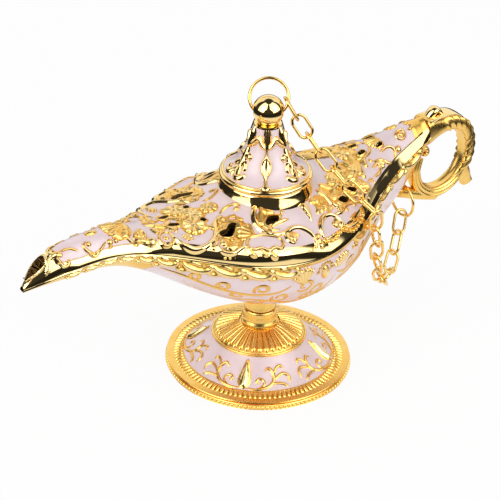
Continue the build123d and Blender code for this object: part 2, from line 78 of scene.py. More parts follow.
class Finish:
    """A surface finish: one Principled shader and the nodes that feed it."""

    def __init__(self, name, **constants):
        self.material = bpy.data.materials.new(name)
        self.material.use_nodes = True
        self.tree = self.material.node_tree
        self.surface = self.tree.nodes["Principled BSDF"]
        for socket, value in constants.items():
            self.surface.inputs[socket.replace("_", " ")].default_value = value

    def node(self, kind, settings=None, inputs=None, output=0):
        made = self.tree.nodes.new(kind)
        for key, value in (settings or {}).items():
            setattr(made, key, value)
        for key, value in (inputs or {}).items():
            self.join(value, made.inputs[key])
        return Value(self, made.outputs[output])

    def join(self, value, socket):
        if isinstance(value, Value):
            self.tree.links.new(value.socket, socket)
        else:
            socket.default_value = value

    def feed(self, socket, value):
        self.join(value, self.surface.inputs[socket])

    def mix(self, share, a, b):
        return self.node("ShaderNodeMix", {"data_type": "RGBA"}, {0: share, 6: a, 7: b}, 2)

    def blend(self, share, a, b):
        return self.node("ShaderNodeMix", {"data_type": "FLOAT"}, {0: share, 2: a, 3: b}, 0)

    def place(self):
        """Object coordinates in millimetres."""
        spot = self.node("ShaderNodeTexCoord", output="Object")
        return self.node("ShaderNodeVectorMath", {"operation": "SCALE"}, {0: spot, 3: 1 / MM})

    def cloud(self, scale, detail=3.0):
        inputs = {"Vector": self.place(), "Scale": scale, "Detail": detail, "Roughness": CLOUD_ROUGHNESS}
        return self.node("ShaderNodeTexNoise", None, inputs)

    def bump(self, height, strength):
        inputs = {"Height": height, "Strength": strength, "Distance": BUMP_DEPTH}
        self.feed("Normal", self.node("ShaderNodeBump", None, inputs))

    def mark(self, name):
        return self.node("ShaderNodeAttribute", {"attribute_name": name}, output="Fac")


GOLD_BRIGHT = (0.99, 0.74, 0.33, 1)
GOLD_SOFT = (0.98, 0.71, 0.29, 1)
GOLD_SATIN = (0.97, 0.64, 0.19, 1)
GOLD_WARM = (0.94, 0.57, 0.13, 1)
# Painted shade colour for the edges of the cast gilding, where the relief slopes down to the enamel
GOLD_EDGE_SHADE = (0.72, 0.33, 0.045, 1)
PEARL = (0.85, 0.70, 0.715, 1)
PEARL_SHADE = (0.79, 0.63, 0.65, 1)
# Darker, browner enamel colour used next to the gilding
PEARL_BY_GILT = (0.8, 0.6, 0.5, 1)


def metal(name, tones, patches, rough, grain, spread=None):
    """A metal of two tones, with the scale of their patches.

    Roughness is given as scale, amount and least value, the grain as scale, detail and strength.
    """
    f = Finish(name, Metallic=1.0)
    tone = f.cloud(patches)
    f.feed("Base Color", f.mix(tone.ramp(*spread) if spread else tone, *tones))
    scale, amount, least = rough
    f.feed("Roughness", f.cloud(scale) * amount + least)
    scale, detail, strength = grain
    f.bump(f.cloud(scale, detail), strength)
    return f.material


def enamelled_casting():
    """Gold where the relief stands up, pearl enamel between, and a painted shade line of deep orange where
    they meet; higher relief is painted a paler gold, a painted highlight.
    """
    f = Finish("enamelled_casting", Coat_Roughness=0.2)
    gild = f.mark("gild")
    polish = f.mark("polish")
    crest = f.mark("crest")
    gold_share = gild.ramp(-0.1, 0.06)
    # Painted shade: gold turns deep orange near the edge of the gilding, where the relief slopes down to the
    # enamel
    edge = gild.ramp(0.0, 0.45)
    # Painted highlight: gold is paler yellow on higher relief and more orange on lower relief
    gold = f.mix(edge, GOLD_EDGE_SHADE, f.mix(crest.ramp(0.2, 1.4), GOLD_WARM, GOLD_BRIGHT))
    gold = f.mix(polish, gold, GOLD_BRIGHT)
    # Enamel turns darker and browner within about a millimetre of the gilding
    by_gilt = gild.ramp(-1.1, -0.1)
    ground = f.mix(f.cloud(0.09).ramp(0.3, 0.7), PEARL, PEARL_SHADE)
    ground = f.mix(by_gilt * 0.5, ground, PEARL_BY_GILT)
    f.feed("Base Color", f.mix(gold_share, ground, gold))
    f.feed("Metallic", gold_share)
    satin = f.cloud(1.2) * 0.1 + 0.24
    bright = f.blend(polish, satin, 0.05)
    f.feed("Roughness", f.blend(gold_share, f.cloud(0.5) * 0.12 + 0.24, bright))
    f.feed("Coat Weight", (1 - gold_share) * 0.3)
    f.bump(f.cloud(1.1, 3.0) * (1.1 - polish), 0.1)
    return f.material


POLISHED = metal("polished_gold", (GOLD_BRIGHT, GOLD_SOFT), 0.12,
                 rough=(0.6, 0.05, 0.045), grain=(0.35, 2.0, 0.05), spread=(0.35, 0.7))
SATIN = metal("satin_gold", (GOLD_SATIN, GOLD_WARM), 0.25,
              rough=(1.4, 0.14, 0.2), grain=(2.2, 3.0, 0.12), spread=(0.3, 0.7))
WIRE = metal("wire_gold", ((0.98, 0.70, 0.25, 1), (0.95, 0.61, 0.17, 1)), 0.9,
             rough=(2.0, 0.1, 0.12), grain=(3.0, 3.0, 0.08), spread=(0.35, 0.65))
LINING = metal("raw_lining", ((0.34, 0.2, 0.07, 1), (0.2, 0.115, 0.04, 1)), 0.3,
               rough=(1.2, 0.2, 0.42), grain=(1.6, 4.0, 0.3))
ZINC = metal("zinc_steel", ((0.55, 0.55, 0.57, 1), (0.42, 0.42, 0.44, 1)), 1.1,
             rough=(3.0, 0.2, 0.3), grain=(4.0, 3.0, 0.1))
CASTING = enamelled_casting()


# Putting pieces on the lamp
SMOOTH_COPY_CREASE = 38


def settle(piece, body, slot, *nodes):
    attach(piece, body)
    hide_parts(*nodes)
    return piece


def cast(name, points, faces, material, marks=None, sharp=None):
    """A mesh object from points in millimetres."""
    mesh = bpy.data.meshes.new(name)
    mesh.from_pydata((np.asarray(points, float) * MM).tolist(), [], faces)
    mesh.materials.append(material)
    mesh.shade_smooth()
    if sharp is not None:
        mesh.set_sharp_from_angle(angle=math.radians(sharp))
    for key, values in (marks or {}).items():
        layer = mesh.attributes.new(key, "FLOAT", "POINT")
        layer.data.foreach_set("value", np.asarray(values, np.float32))
    mesh.validate()
    piece = bpy.data.objects.new(name, mesh)
    bpy.context.scene.collection.objects.link(piece)
    return piece


def weave(rows, columns, closed=False, keep=None, flip=False):
    """Quads of a grid of points, row by row."""
    faces = []
    for i in range(rows - 1):
        for j in range(columns if closed else columns - 1):
            if keep is not None and not keep[i, j]:
                continue
            k = (j + 1) % columns
            quad = (i * columns + j, i * columns + k, (i + 1) * columns + k, (i + 1) * columns + j)
            faces.append(quad[::-1] if flip else quad)
    return faces


def curve_through(points, steps=12, closed=False):
    """A smooth line through a few points."""
    p = np.asarray(points, float)
    if closed:
        p = np.vstack([p[-1], p, p[:2]])
    else:
        p = np.vstack([2 * p[0] - p[1], p, 2 * p[-1] - p[-2]])
    t = np.linspace(0, 1, steps, endpoint=False)[:, None]
    out = []
    for a, b, c, d in zip(p, p[1:], p[2:], p[3:]):
        bend, twist = 2 * a - 5 * b + 4 * c - d, 3 * b - a - 3 * c + d
        out.append(0.5 * (2 * b + (c - a) * t + bend * t**2 + twist * t**3))
    line = np.vstack(out)
    return line if closed else np.vstack([line, p[-2]])


def run_of(line):
    """Distance along a line at each of its points."""
    return np.concatenate([[0], np.cumsum(np.linalg.norm(np.diff(line, axis=0), axis=1))])


def turned(name, node, profile, steps, material, sharp, body="lamp"):
    """A turned piece, settled: a profile of (radius, height) spun about the stem axis."""
    p = np.asarray(profile, float)
    a = np.linspace(0, TAU, steps, endpoint=False)
    points = np.stack([np.outer(p[:, 0], np.cos(a)), np.outer(p[:, 0], np.sin(a)),
                       np.repeat(p[:, 1:2], steps, 1)], -1).reshape(-1, 3)
    piece = cast(name, points, weave(len(p), steps, closed=True), material, sharp=sharp)
    settle(piece, body, "gilt", node)


def smooth_copy(node, material):
    """The frame's own shape with its triangles joined, so that it shades as one smooth surface."""
    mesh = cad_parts[node].data.copy()
    mesh.name = node + "_smooth"
    work = bmesh.new()
    work.from_mesh(mesh)
    bmesh.ops.remove_doubles(work, verts=work.verts, dist=1e-6)
    work.to_mesh(mesh)
    work.free()
    mesh.materials.clear()
    mesh.materials.append(material)
    for face in mesh.polygons:
        face.material_index = 0
    mesh.shade_smooth()
    mesh.set_sharp_from_angle(angle=math.radians(SMOOTH_COPY_CREASE))
    piece = bpy.data.objects.new(node + "_smooth", mesh)
    bpy.context.scene.collection.objects.link(piece)
    return piece


# Things that repeat, made with node trees
class NodeTree:
    def __init__(self, name, **sizes):
        self.tree = bpy.data.node_groups.new(name, "GeometryNodeTree")
        face = self.tree.interface
        face.new_socket("Geometry", in_out="INPUT", socket_type="NodeSocketGeometry")
        face.new_socket("Geometry", in_out="OUTPUT", socket_type="NodeSocketGeometry")
        self.keys = {}
        for key, kind in sizes.items():
            self.keys[key] = face.new_socket(key, in_out="INPUT", socket_type=kind).identifier
        self.given = self.tree.nodes.new("NodeGroupInput")
        self.result = self.tree.nodes.new("NodeGroupOutput")

    def node(self, kind, settings=None, inputs=None):
        made = self.tree.nodes.new(kind)
        for key, value in (settings or {}).items():
            setattr(made, key, value)
        for key, value in (inputs or {}).items():
            if isinstance(value, bpy.types.NodeSocket):
                self.tree.links.new(value, made.inputs[key])
            else:
                made.inputs[key].default_value = value
        return made

    def end(self, geometry):
        whole = self.node("GeometryNodeRealizeInstances", None, {"Geometry": geometry})
        smooth = self.node("GeometryNodeSetShadeSmooth", None, {"Geometry": whole.outputs[0]})
        coat = self.node("GeometryNodeSetMaterial", None,
                         {"Geometry": smooth.outputs[0], "Material": self.given.outputs["Material"]})
        self.tree.links.new(coat.outputs[0], self.result.inputs[0])

    def make(self, name, seed_mesh, **sizes):
        """Runs the tree on a seed mesh and gives back a plain mesh object."""
        holder = bpy.data.objects.new(name, seed_mesh)
        bpy.context.scene.collection.objects.link(holder)
        modifier = holder.modifiers.new("repeat", "NODES")
        modifier.node_group = self.tree
        for key, value in sizes.items():
            modifier[self.keys[key]] = value
        shown = holder.evaluated_get(bpy.context.evaluated_depsgraph_get())
        mesh = bpy.data.meshes.new_from_object(shown)
        holder.modifiers.clear()
        holder.data = mesh
        return holder


def bead_row_tree():
    """Round beads at even spacing along a drawn line."""
    t = NodeTree("bead_row", Spacing="NodeSocketFloat", Bead="NodeSocketFloat", Material="NodeSocketMaterial")
    line = t.node("GeometryNodeMeshToCurve", None, {"Mesh": t.given.outputs["Geometry"]})
    spots = t.node("GeometryNodeResampleCurve")
    spots.mode = "LENGTH"
    t.tree.links.new(line.outputs[0], spots.inputs["Curve"])
    t.tree.links.new(t.given.outputs["Spacing"], spots.inputs["Length"])
    bead = t.node("GeometryNodeMeshIcoSphere", None, {"Radius": t.given.outputs["Bead"], "Subdivisions": 2})
    row = t.node("GeometryNodeInstanceOnPoints", None,
                 {"Points": spots.outputs[0], "Instance": bead.outputs[0]})
    t.end(row.outputs[0])
    return t


def ring_of_copies_tree():
    """Copies of a seed shape turned about the stem axis."""
    t = NodeTree("ring_of_copies", Count="NodeSocketInt", Material="NodeSocketMaterial")
    count, seed = t.given.outputs["Count"], t.given.outputs["Geometry"]
    spots = t.node("GeometryNodeMeshLine", {"mode": "OFFSET"}, {"Count": count, "Offset": (0, 0, 0)})
    index = t.node("GeometryNodeInputIndex")
    share = t.node("ShaderNodeMath", {"operation": "DIVIDE"}, {0: index.outputs[0], 1: count})
    angle = t.node("ShaderNodeMath", {"operation": "MULTIPLY"}, {0: share.outputs[0], 1: TAU})
    turn = t.node("ShaderNodeCombineXYZ", None, {"Z": angle.outputs[0]})
    ring = t.node("GeometryNodeInstanceOnPoints", None,
                  {"Points": spots.outputs[0], "Instance": seed, "Rotation": turn.outputs[0]})
    t.end(ring.outputs[0])
    return t


BEAD_ROW, RING_OF_COPIES = bead_row_tree(), ring_of_copies_tree()


def line_mesh(points, closed=False):
    n = len(points)
    edges = [(i, (i + 1) % n) for i in range(n if closed else n - 1)]
    mesh = bpy.data.meshes.new("line")
    mesh.from_pydata((np.asarray(points, float) * MM).tolist(), edges, [])
    return mesh


def circle_line(radius, height, steps=180):
    a = np.linspace(0, TAU, steps, endpoint=False)
    return np.stack([radius * np.cos(a), radius * np.sin(a), np.full(steps, height)], -1)


def bead_ring(name, radius, height, count, bead, material):
    spacing = TAU * radius / count
    return BEAD_ROW.make(name, line_mesh(circle_line(radius, height), True),
                         Spacing=spacing * MM, Bead=bead * MM, Material=material)


# Body law: x, half width, rim, crown and keel heights, in millimetres
STATIONS = np.array([
    (-112.0, 1.05, 72.6, 73.2, 71.0), (-106.0, 4.0, 75.15, 80.4, 71.9), (-98.0, 5.6, 77.0, 84.4, 72.0),
    (-86.0, 6.65, 78.2, 85.9, 72.2), (-72.0, 8.4, 78.2, 85.2, 69.9), (-58.0, 12.95, 75.4, 81.4, 63.0),
    (-44.0, 19.95, 72.0, 78.6, 53.4), (-28.0, 29.05, 68.6, 78.8, 43.6), (-8.0, 35.0, 66.2, 80.7, 35.0),
    (12.0, 33.5, 66.0, 80.6, 33.0), (30.0, 26.0, 68.6, 80.9, 34.2), (44.0, 17.5, 71.65, 81.7, 39.6),
    (56.0, 11.0, 74.0, 83.6, 48.0), (68.0, 7.2, 77.0, 85.8, 58.1), (79.0, 5.4, 80.5, 87.2, 75.0)])
PARTING = 0.1
WALL = 1.6


def through_stations(column):
    """A smooth law through one column of the stations."""
    xs, vs = STATIONS[:, 0], STATIONS[:, column]
    n = len(xs)
    h = np.diff(xs)
    a = np.eye(n)
    r = np.zeros(n)
    for i in range(1, n - 1):
        a[i, i - 1:i + 2] = h[i - 1], 2 * (h[i - 1] + h[i]), h[i]
        r[i] = 6 * ((vs[i + 1] - vs[i]) / h[i] - (vs[i] - vs[i - 1]) / h[i - 1])
    m = np.linalg.solve(a, r)

    def at(x):
        x = np.asarray(x, float)
        i = np.clip(np.searchsorted(xs, x) - 1, 0, n - 2)
        t, u = x - xs[i], xs[i + 1] - x
        bend = (m[i] * u**3 + m[i + 1] * t**3) / (6 * h[i])
        return bend + (vs[i] / h[i] - m[i] * h[i] / 6) * u + (vs[i + 1] / h[i] - m[i + 1] * h[i] / 6) * t

    return at


HALF, RIM, CROWN, KEEL = (through_stations(c) for c in (1, 2, 3, 4))


def section(x, t, curve, far, gap, inset=0.0):
    """Points of the body's sections: t runs from -1 at the front rim over the middle to 1 at the back rim."""
    k = 1 - np.abs(t)
    b0, b1, b2, b3 = (1 - k) ** 3, 3 * (1 - k) ** 2 * k, 3 * (1 - k) * k**2, k**3
    at_rim, at_middle, lift = curve
    half = np.maximum(HALF(x) - inset, 0.3)
    rim = RIM(x) + gap
    tall = far(x) - rim
    tall = np.sign(tall) * np.maximum(np.abs(tall) - inset, 0.2)
    y = np.sign(t) * half * (b0 + at_rim * b1 + at_middle * b2)
    z = rim + tall * (lift * b1 + b2 + b3)
    return np.stack(np.broadcast_arrays(x + 0 * y, y, z), -1)


def cover_at(x, t, inset=0.0):
    return section(x, t, (0.92, 0.5, 0.5), CROWN, PARTING, inset)


def bowl_at(x, t, inset=0.0):
    return section(x, t, (1.0, 0.6, 0.6), KEEL, -PARTING, inset)


FINE = np.linspace(0, 1, 240)


def from_edges(grid):
    """Distance of each point of a grid from the nearer end of its row."""
    run = np.cumsum(np.linalg.norm(np.diff(grid, axis=1), axis=2), axis=1)
    run = np.concatenate([np.zeros((len(grid), 1)), run], axis=1)
    return np.minimum(run, run[:, -1:] - run)


def on_cover(points):
    """Cover points over plan points (x, y)."""
    out = []
    for x, y in points:
        side = cover_at(np.full(len(FINE), x), FINE)
        t = np.interp(abs(y), side[:, 1], FINE)
        out.append(cover_at(np.array(x), np.array(math.copysign(max(t, 1e-6), y))))
    return np.array(out)


def on_bowl(points):
    """Bowl points at (x, distance down from the parting line), on the front for a negative distance."""
    out = []
    for x, s in points:
        side = bowl_at(np.full(len(FINE), x), FINE[::-1])
        t = np.interp(abs(s), run_of(side), FINE[::-1])
        out.append(bowl_at(np.array(x), np.array(math.copysign(max(t, 1e-6), s))))
    return np.array(out)


def points_of(node):
    """A node's vertices in millimetres."""
    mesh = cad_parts[node].data
    flat = np.empty(len(mesh.vertices) * 3)
    mesh.vertices.foreach_get("co", flat)
    return flat.reshape(-1, 3) / MM


# Links that lie on the cover or hang by the rim, and the room they are given
RIM_LINKS = [f"chain_link_{n:02d}" for n in range(4, 12)]
CHAIN_ROOM = 0.35
# Marks of bare enamel and of full gilding
BARE, GILT = -3, 0.6


# Tooling: relief raised on a grid of surface points
class Relief:
    def __init__(self, points, flip=False):
        self.shape = points.shape
        down, across = np.gradient(points, axis=0), np.gradient(points, axis=1)
        n = np.cross(down, across)
        n /= np.maximum(np.linalg.norm(n, axis=-1, keepdims=True), 1e-9)
        self.points = points.reshape(-1, 3)
        self.hand = 1 if flip else -1
        self.normals = (n * self.hand).reshape(-1, 3)
        count = len(self.points)
        self.high = np.zeros(count)
        self.gild = np.full(count, float(BARE))
        self.polish = np.zeros(count)
        self.crest = np.zeros(count)
        self.bright = np.zeros(count)
        self.quiet = np.zeros(count, bool)

    def near(self, middle, reach):
        low, high = np.min(middle, 0) - reach, np.max(middle, 0) + reach
        return np.nonzero(np.all((self.points > low) & (self.points < high), axis=1))[0]

    def lay(self, spots, high, gild):
        self.high[spots] = np.maximum(self.high[spots], high)
        self.gild[spots] = np.maximum(self.gild[spots], gild)
        self.crest[spots] = np.maximum(self.crest[spots], high)

    def gild_where(self, depth, most=GILT):
        """Gilds by the depth inside the edge of the gilding, which is negative outside it."""
        self.gild = np.maximum(self.gild, np.clip(depth, BARE, most))

    def rib(self, line, width, height, ends=0.25, shine=0.0):
        """A rounded ridge along a line, narrower and lower towards its ends."""
        spots = self.near(line, 2.6)
        if not len(spots):
            return
        n = len(line)
        share = np.linspace(0, 1, n)
        wide = np.interp(share, np.linspace(0, 1, len(np.atleast_1d(width))), np.atleast_1d(width))
        taper = ends + (1 - ends) * np.clip(np.minimum(share, 1 - share) * 5, 0, 1) ** 0.6
        at = self.points[spots]
        gap = np.linalg.norm(at[:, None] - line[None], axis=2)
        nearest = gap.argmin(1)
        d = gap[np.arange(len(spots)), nearest]
        for first, last in ((nearest - 1, nearest), (nearest, nearest + 1)):
            start = line[np.maximum(first, 0)]
            run = line[np.minimum(last, n - 1)] - start
            along = np.clip(((at - start) * run).sum(1) / np.maximum((run**2).sum(1), 1e-9), 0, 1)
            d = np.minimum(d, np.linalg.norm(at - start - run * along[:, None], axis=1))
        w = wide[nearest] * taper[nearest]
        up = height * taper[nearest] * np.clip(1 - (d / w) ** 2, 0, 1) ** 0.75
        self.lay(spots, up, w * 1.05 - d)
        self.bright[spots] = np.maximum(self.bright[spots], shine * (up > 0.1))

    def bead(self, spot, radius, height=None):
        spots = self.near(spot[None], radius * 1.6)
        d = np.linalg.norm(self.points[spots] - spot, axis=1)
        up = (height or radius * 0.8) * np.sqrt(np.clip(1 - (d / radius) ** 2, 0, 1))
        self.lay(spots, up, radius * 1.08 - d)

    def flat_of(self, spot, reach, heading=(1, 0, 0)):
        """Nearby vertices in polar form about a spot, from a heading along the surface."""
        spots = self.near(spot[None], reach)
        home = np.linalg.norm(self.points[spots] - spot, axis=1).argmin() if len(spots) else 0
        n = self.normals[spots][home]
        e1 = np.asarray(heading, float)
        e1 = e1 - n * e1.dot(n)
        e1 /= np.linalg.norm(e1)
        e2 = np.cross(n, e1)
        q = self.points[spots] - spot
        a, b = q @ e1, q @ e2
        return spots, np.hypot(a, b), np.arctan2(b, a)

    def daisy(self, spot, radius, petals, height=1.0):
        spots, rho, phi = self.flat_of(spot, radius * 1.5)
        lobe = np.abs(np.cos(petals * phi / 2))
        edge = radius * (0.72 + 0.28 * lobe**0.6)
        across = np.clip(lobe / 0.75, 0, 1) ** 0.8
        lengthwise = np.clip((rho / radius - 0.15) / 0.12, 0, 1)
        lengthwise = lengthwise * np.clip((edge - rho) / (0.16 * radius), 0, 1) ** 0.5
        button = height * 1.2 * np.sqrt(np.clip(1 - (rho / (0.26 * radius)) ** 2, 0, 1))
        self.lay(spots, np.maximum(height * across * lengthwise, button), edge - rho)
        self.quiet[spots[rho < radius * 1.25]] = True

    def fan(self, hinge, tip, ribs, spread, height=1.0):
        reach = np.linalg.norm(tip - hinge)
        spots, rho, phi = self.flat_of(hinge, reach * 1.3, tip - hinge)
        open_to = math.radians(spread) / 2
        share = phi / open_to
        rib = np.abs(np.sin(np.pi * ribs * (share + 1) / 2))
        edge = reach * (1 - 0.16 * share**2) * (0.9 + 0.1 * rib)
        inside = np.minimum(edge - rho, (open_to - np.abs(phi)) * rho)
        q = np.clip(rho / reach, 0, 1)
        up = height * (0.12 + 0.88 * rib**0.7) * (0.35 + 0.65 * q) * np.clip(inside / 0.7, 0, 1) ** 0.5
        up[inside < 0] = 0
        self.lay(spots, up, inside)

    def ground(self, spot, radius):
        """A patch of bare gold ground round a spot."""
        spots = self.near(spot[None], radius)
        d = np.linalg.norm(self.points[spots] - spot, axis=1)
        self.gild[spots] = np.maximum(self.gild[spots], np.clip(radius - d, BARE, 0.3))

    def leafage(self, where, spacing, length):
        """Small curved leaves over part of the surface, in a fixed order, turning from place to place."""
        left = np.random.default_rng(7).permutation(np.nonzero(where)[0])
        bend = np.linspace(-0.5, 0.5, 7)
        while len(left):
            spot, n = self.points[left[0]], self.normals[left[0]]
            turn = 2.2 * math.sin(0.23 * spot[0]) + 1.9 * math.cos(0.31 * spot[1])
            along = np.array([math.cos(turn), math.sin(turn), 0])
            along -= n * along.dot(n)
            along /= np.linalg.norm(along)
            aside = np.cross(n, along)
            line = spot + length * (bend[:, None] * along + (bend**2)[:, None] * aside * 0.8)
            self.rib(line, (0.5, 1.35, 0.7), 0.8)
            left = left[np.linalg.norm(self.points[left] - spot, axis=1) > spacing]

    def clear_links(self):
        """Lowers the relief where links of the chain rest close to it."""
        spots = np.vstack([points_of(node) for node in RIM_LINKS])
        tree = KDTree(len(spots))
        for n, spot in enumerate(spots):
            tree.insert(spot, n)
        tree.balance()
        for n in self.near(spots, 2.5):
            self.high[n] = min(self.high[n], max(tree.find(self.points[n])[2] - CHAIN_ROOM, 0))

    def marks(self):
        return {"gild": self.gild, "polish": np.maximum(self.polish, self.bright), "crest": self.crest}

    def soften(self, passes):
        """Rounds the creases where ridges meet, as polishing does."""
        h = self.high.reshape(self.shape[:2])
        for _ in range(passes):
            h = np.pad(h, 1, mode="edge")
            h = 0.25 * (h[:-2] + 2 * h[1:-1] + h[2:])
            h = 0.25 * (h[:, :-2] + 2 * h[:, 1:-1] + h[:, 2:])
        self.high = h.ravel()

    def raised(self):
        return self.points + self.normals * self.high[:, None]

    def cast_patches(self, name, node, split, keep=None):
        """Casts the spout, up to the row where it splits off, and the front and back of the body.

        The patches share the normals of the whole, and none has too many faces.
        """
        rows, columns, _ = self.shape
        last, end, middle = rows - 1, columns - 1, columns // 2
        patches = {"spout": (0, split, 0, end), "front": (split, last, 0, middle),
                   "back": (split, last, middle, end)}
        skin = self.raised().reshape(self.shape)
        slopes = np.cross(np.gradient(skin, axis=0), np.gradient(skin, axis=1)) * self.hand
        slopes /= np.maximum(np.linalg.norm(slopes, axis=-1, keepdims=True), 1e-9)
        for part, (top, bottom, left, right) in patches.items():
            patch = slice(top, bottom + 1), slice(left, right + 1)
            cells = None if keep is None else keep[top:bottom, left:right]
            marks = {key: value.reshape(rows, columns)[patch].ravel() for key, value in self.marks().items()}
            faces = weave(bottom - top + 1, right - left + 1, keep=cells, flip=self.hand > 0)
            piece = cast(f"{name}_{part}", skin[patch].reshape(-1, 3), faces, CASTING, marks)
            piece.data.normals_split_custom_set_from_vertices(slopes[patch].reshape(-1, 3).tolist())
            settle(piece, "lamp", "enamel", node)

    def cast_round(self, name, body, node):
        """Casts a surface that closes on itself, without its rows of overlap."""
        inside = slice(OVERLAP, -OVERLAP)
        skin = self.raised().reshape(self.shape)[inside]
        marks = {key: value.reshape(self.shape[:2])[inside].ravel() for key, value in self.marks().items()}
        rows, columns, _ = skin.shape
        last = (rows - 1) * columns
        faces = weave(rows, columns, flip=True)
        faces += [(last + j + 1, j + 1, j, last + j) for j in range(columns - 1)]
        settle(cast(name, skin.reshape(-1, 3), faces, CASTING, marks), body, "enamel", node)


# Rows that a surface which closes on itself repeats at each end, so that its relief has no seam
OVERLAP = 2


def wrap_round(grid):
    return np.concatenate([grid[-OVERLAP:], grid, grid[:OVERLAP]])


def curl(x, s, radius, start, sweep, grow=0.35):
    """A spiral line in flat measure, from its open end to its eye."""
    share = np.linspace(0, 1, 26)
    a = math.radians(start) + math.radians(sweep) * share
    r = radius * (1 - (1 - grow) * share)
    return np.stack([x + r * np.cos(a), s + r * np.sin(a)], -1)


# Cover: tooling in plan on the front, mirrored on the back; lines with half width and height
COVER_RIBS = [
    # Big scroll by the daisies, and the leaf scroll beside it
    ([(-48.5, -4.4), (-51.2, -9.2), (-50.1, -13.3), (-46.1, -16.9), (-40.8, -17.6), (-36, -15.8),
      (-32.2, -11.9), (-30.2, -8.4), (-27.9, -7.3)], (0.7, 1.1, 1.0, 0.6), 1.3),
    ([(-35.9, -17), (-37.4, -19.3), (-36.4, -21.9), (-33.1, -23.8), (-29.6, -23.9), (-26.9, -24.2)],
      (0.6, 0.9, 0.6), 1.1),
    ([(-26, -5.5), (-22.7, -4.5), (-19.3, -5.5), (-17.9, -7.7)], 0.7, 0.9),
    # Double scroll by the neck
    ([(-10.5, -11.5), (-13.4, -11.3), (-16.1, -13.8), (-17.7, -17.2), (-17.5, -20.9), (-15, -24),
      (-11.8, -25.3), (-8.7, -25.2), (-6.4, -24.5)], (0.7, 1.1, 1.0, 0.6), 1.3),
    ([(-10, -12.3), (-11.6, -12.4), (-13.6, -14.8), (-15.2, -17.8), (-15.3, -20.4), (-13.8, -22.6),
      (-10.8, -23.6)], 0.55, 1.0),
    ([(-13.9, -21.8), (-11, -21.1), (-7.8, -21.2), (-5.2, -21.5)], (0.4, 0.9, 0.4), 1.0),
    # Leaf claws on the band
    ([(-26.9, -24.2), (-27, -26.8), (-25.4, -28.3)], 0.8, 1.0),
    ([(-20.2, -28.8), (-19.3, -30.8), (-17.9, -31.3)], 0.8, 1.0),
    ([(-23, -27.2), (-22.6, -28.8), (-21.4, -29.8)], 0.6, 0.9),
    # Two large volutes on the shoulder
    ([(-7.6, -29.6), (-9.6, -30), (-10.8, -28.4), (-9.6, -26.2), (-6.2, -25), (-2.6, -25.8),
      (-0.2, -28.2), (0.6, -30.8), (-0.1, -33.2)], (0.5, 0.9, 1.0, 0.6), 1.25),
    ([(13.2, -29.6), (15, -29), (15.8, -26.9), (13.2, -24.4), (9.4, -24.6), (6.1, -27.2), (4.6, -30.3),
      (5.1, -31.9)], (0.5, 0.9, 1.0, 0.6), 1.25),
    # Drop leaf in front of the neck
    ([(3.0, -17.2), (3.8, -19), (4.0, -21.6), (3.6, -24.8)], (0.5, 1.8, 1.4, 0.4), 1.05),
    # Line across the nozzle
    ([(-101.4, -1.6), (-102.8, -3), (-104.2, -4.2)], 0.32, 1.02),
    # Leaves behind the neck
    ([(-7, -18.9), (-4.8, -16.7), (-2, -16.4)], 0.6, 0.8),
    ([(11.2, -17.5), (11.2, -19.3), (10.8, -21.8), (10.5, -23)], 0.55, 0.9),
    ([(13, -17.3), (13.5, -19.4), (13.2, -21.8)], 0.55, 0.9),
    ([(16.4, -13.6), (16.3, -17), (16.9, -20.3), (18.4, -22.4), (17.5, -24.4), (14.3, -24.6)],
      (0.6, 1.0, 0.6), 1.1),
    ([(15.5, -26.7), (16.7, -28.6), (19.4, -29.2), (23.4, -28), (26.4, -26.2), (28.6, -24.6)],
      (0.6, 1.0, 0.5), 1.15),
    ([(17.6, -25.1), (22.2, -22.4), (27.4, -22), (30.4, -22.4)], 0.7, 1.0),
    ([(20.5, -27.6), (22.6, -26.2), (25.4, -25.2)], 0.45, 0.8),
    ([(34.3, -16.6), (36.8, -17), (36.6, -18.6), (34.2, -19.2), (33.2, -18)], 0.55, 1.0),
    ([(38.6, -15.4), (41.4, -14.6), (41, -16.6)], 0.5, 0.9),
    ([(18.4, -12.4), (22, -14.4), (24.6, -13.2), (24.2, -10.6)], 0.65, 1.0),
    ([(24, -21), (28.6, -19.8), (32.6, -20.4), (35.6, -21)], 0.6, 0.9),
    ([(29, -12.4), (33.4, -12.8), (36.2, -10.4), (34.6, -7.6)], 0.65, 1.0),
    # Spout: curled lobe at the nozzle, hooked scroll, leaf lines
    ([(-100.1, 1.2), (-99.8, -1.6), (-98.6, -3.7), (-97, -5.1), (-94.9, -5.2), (-95, -4.4)],
      (0.5, 0.55, 0.5), 0.7),
    ([(-97.2, -1.9), (-93.2, -2.5), (-90.3, -4)], 0.4, 0.5),
    ([(-86, -2.6), (-87.4, -3.4), (-87.1, -4.6), (-85.3, -5.8), (-84, -6.3), (-81.4, -5.8),
      (-78.5, -4.8)], (0.45, 0.7, 0.5), 0.9),
    ([(-69.3, -3.8), (-69.2, -6.1), (-67.6, -7.8)], 0.6, 0.9),
    ([(-67.2, -6.6), (-64.6, -4.4), (-61.6, -4.3), (-61.7, -6.4), (-63.6, -7.8),
      (-66.4, -7.6)], 0.6, 1.0),
    ([(-58.4, -0.6), (-54.5, -1.2), (-51.5, -1.4), (-49.9, -2.2), (-49.5, -3.4)], 0.6, 0.9),
    # Tail
    ([(52.5, -5.9), (55.8, -5), (58.2, -5.7), (58.7, -7.3), (57.1, -8.7)], 0.6, 1.0),
    ([(51.5, -8.6), (53, -9.8), (55.8, -9.6)], 0.6, 0.9),
    ([(44.6, -10.6), (47.7, -9.6), (48.1, -11.2), (46.3, -12.8), (43.1, -13.8)], 0.6, 1.0),
    ([(69.4, -0.3), (71.2, -0.8), (70.6, -2.4), (68.8, -2.6)], 0.5, 0.8),
    ([(40.5, -4.6), (44.4, -5.4), (48.4, -4), (50.2, -1.4)], 0.55, 0.9),
]
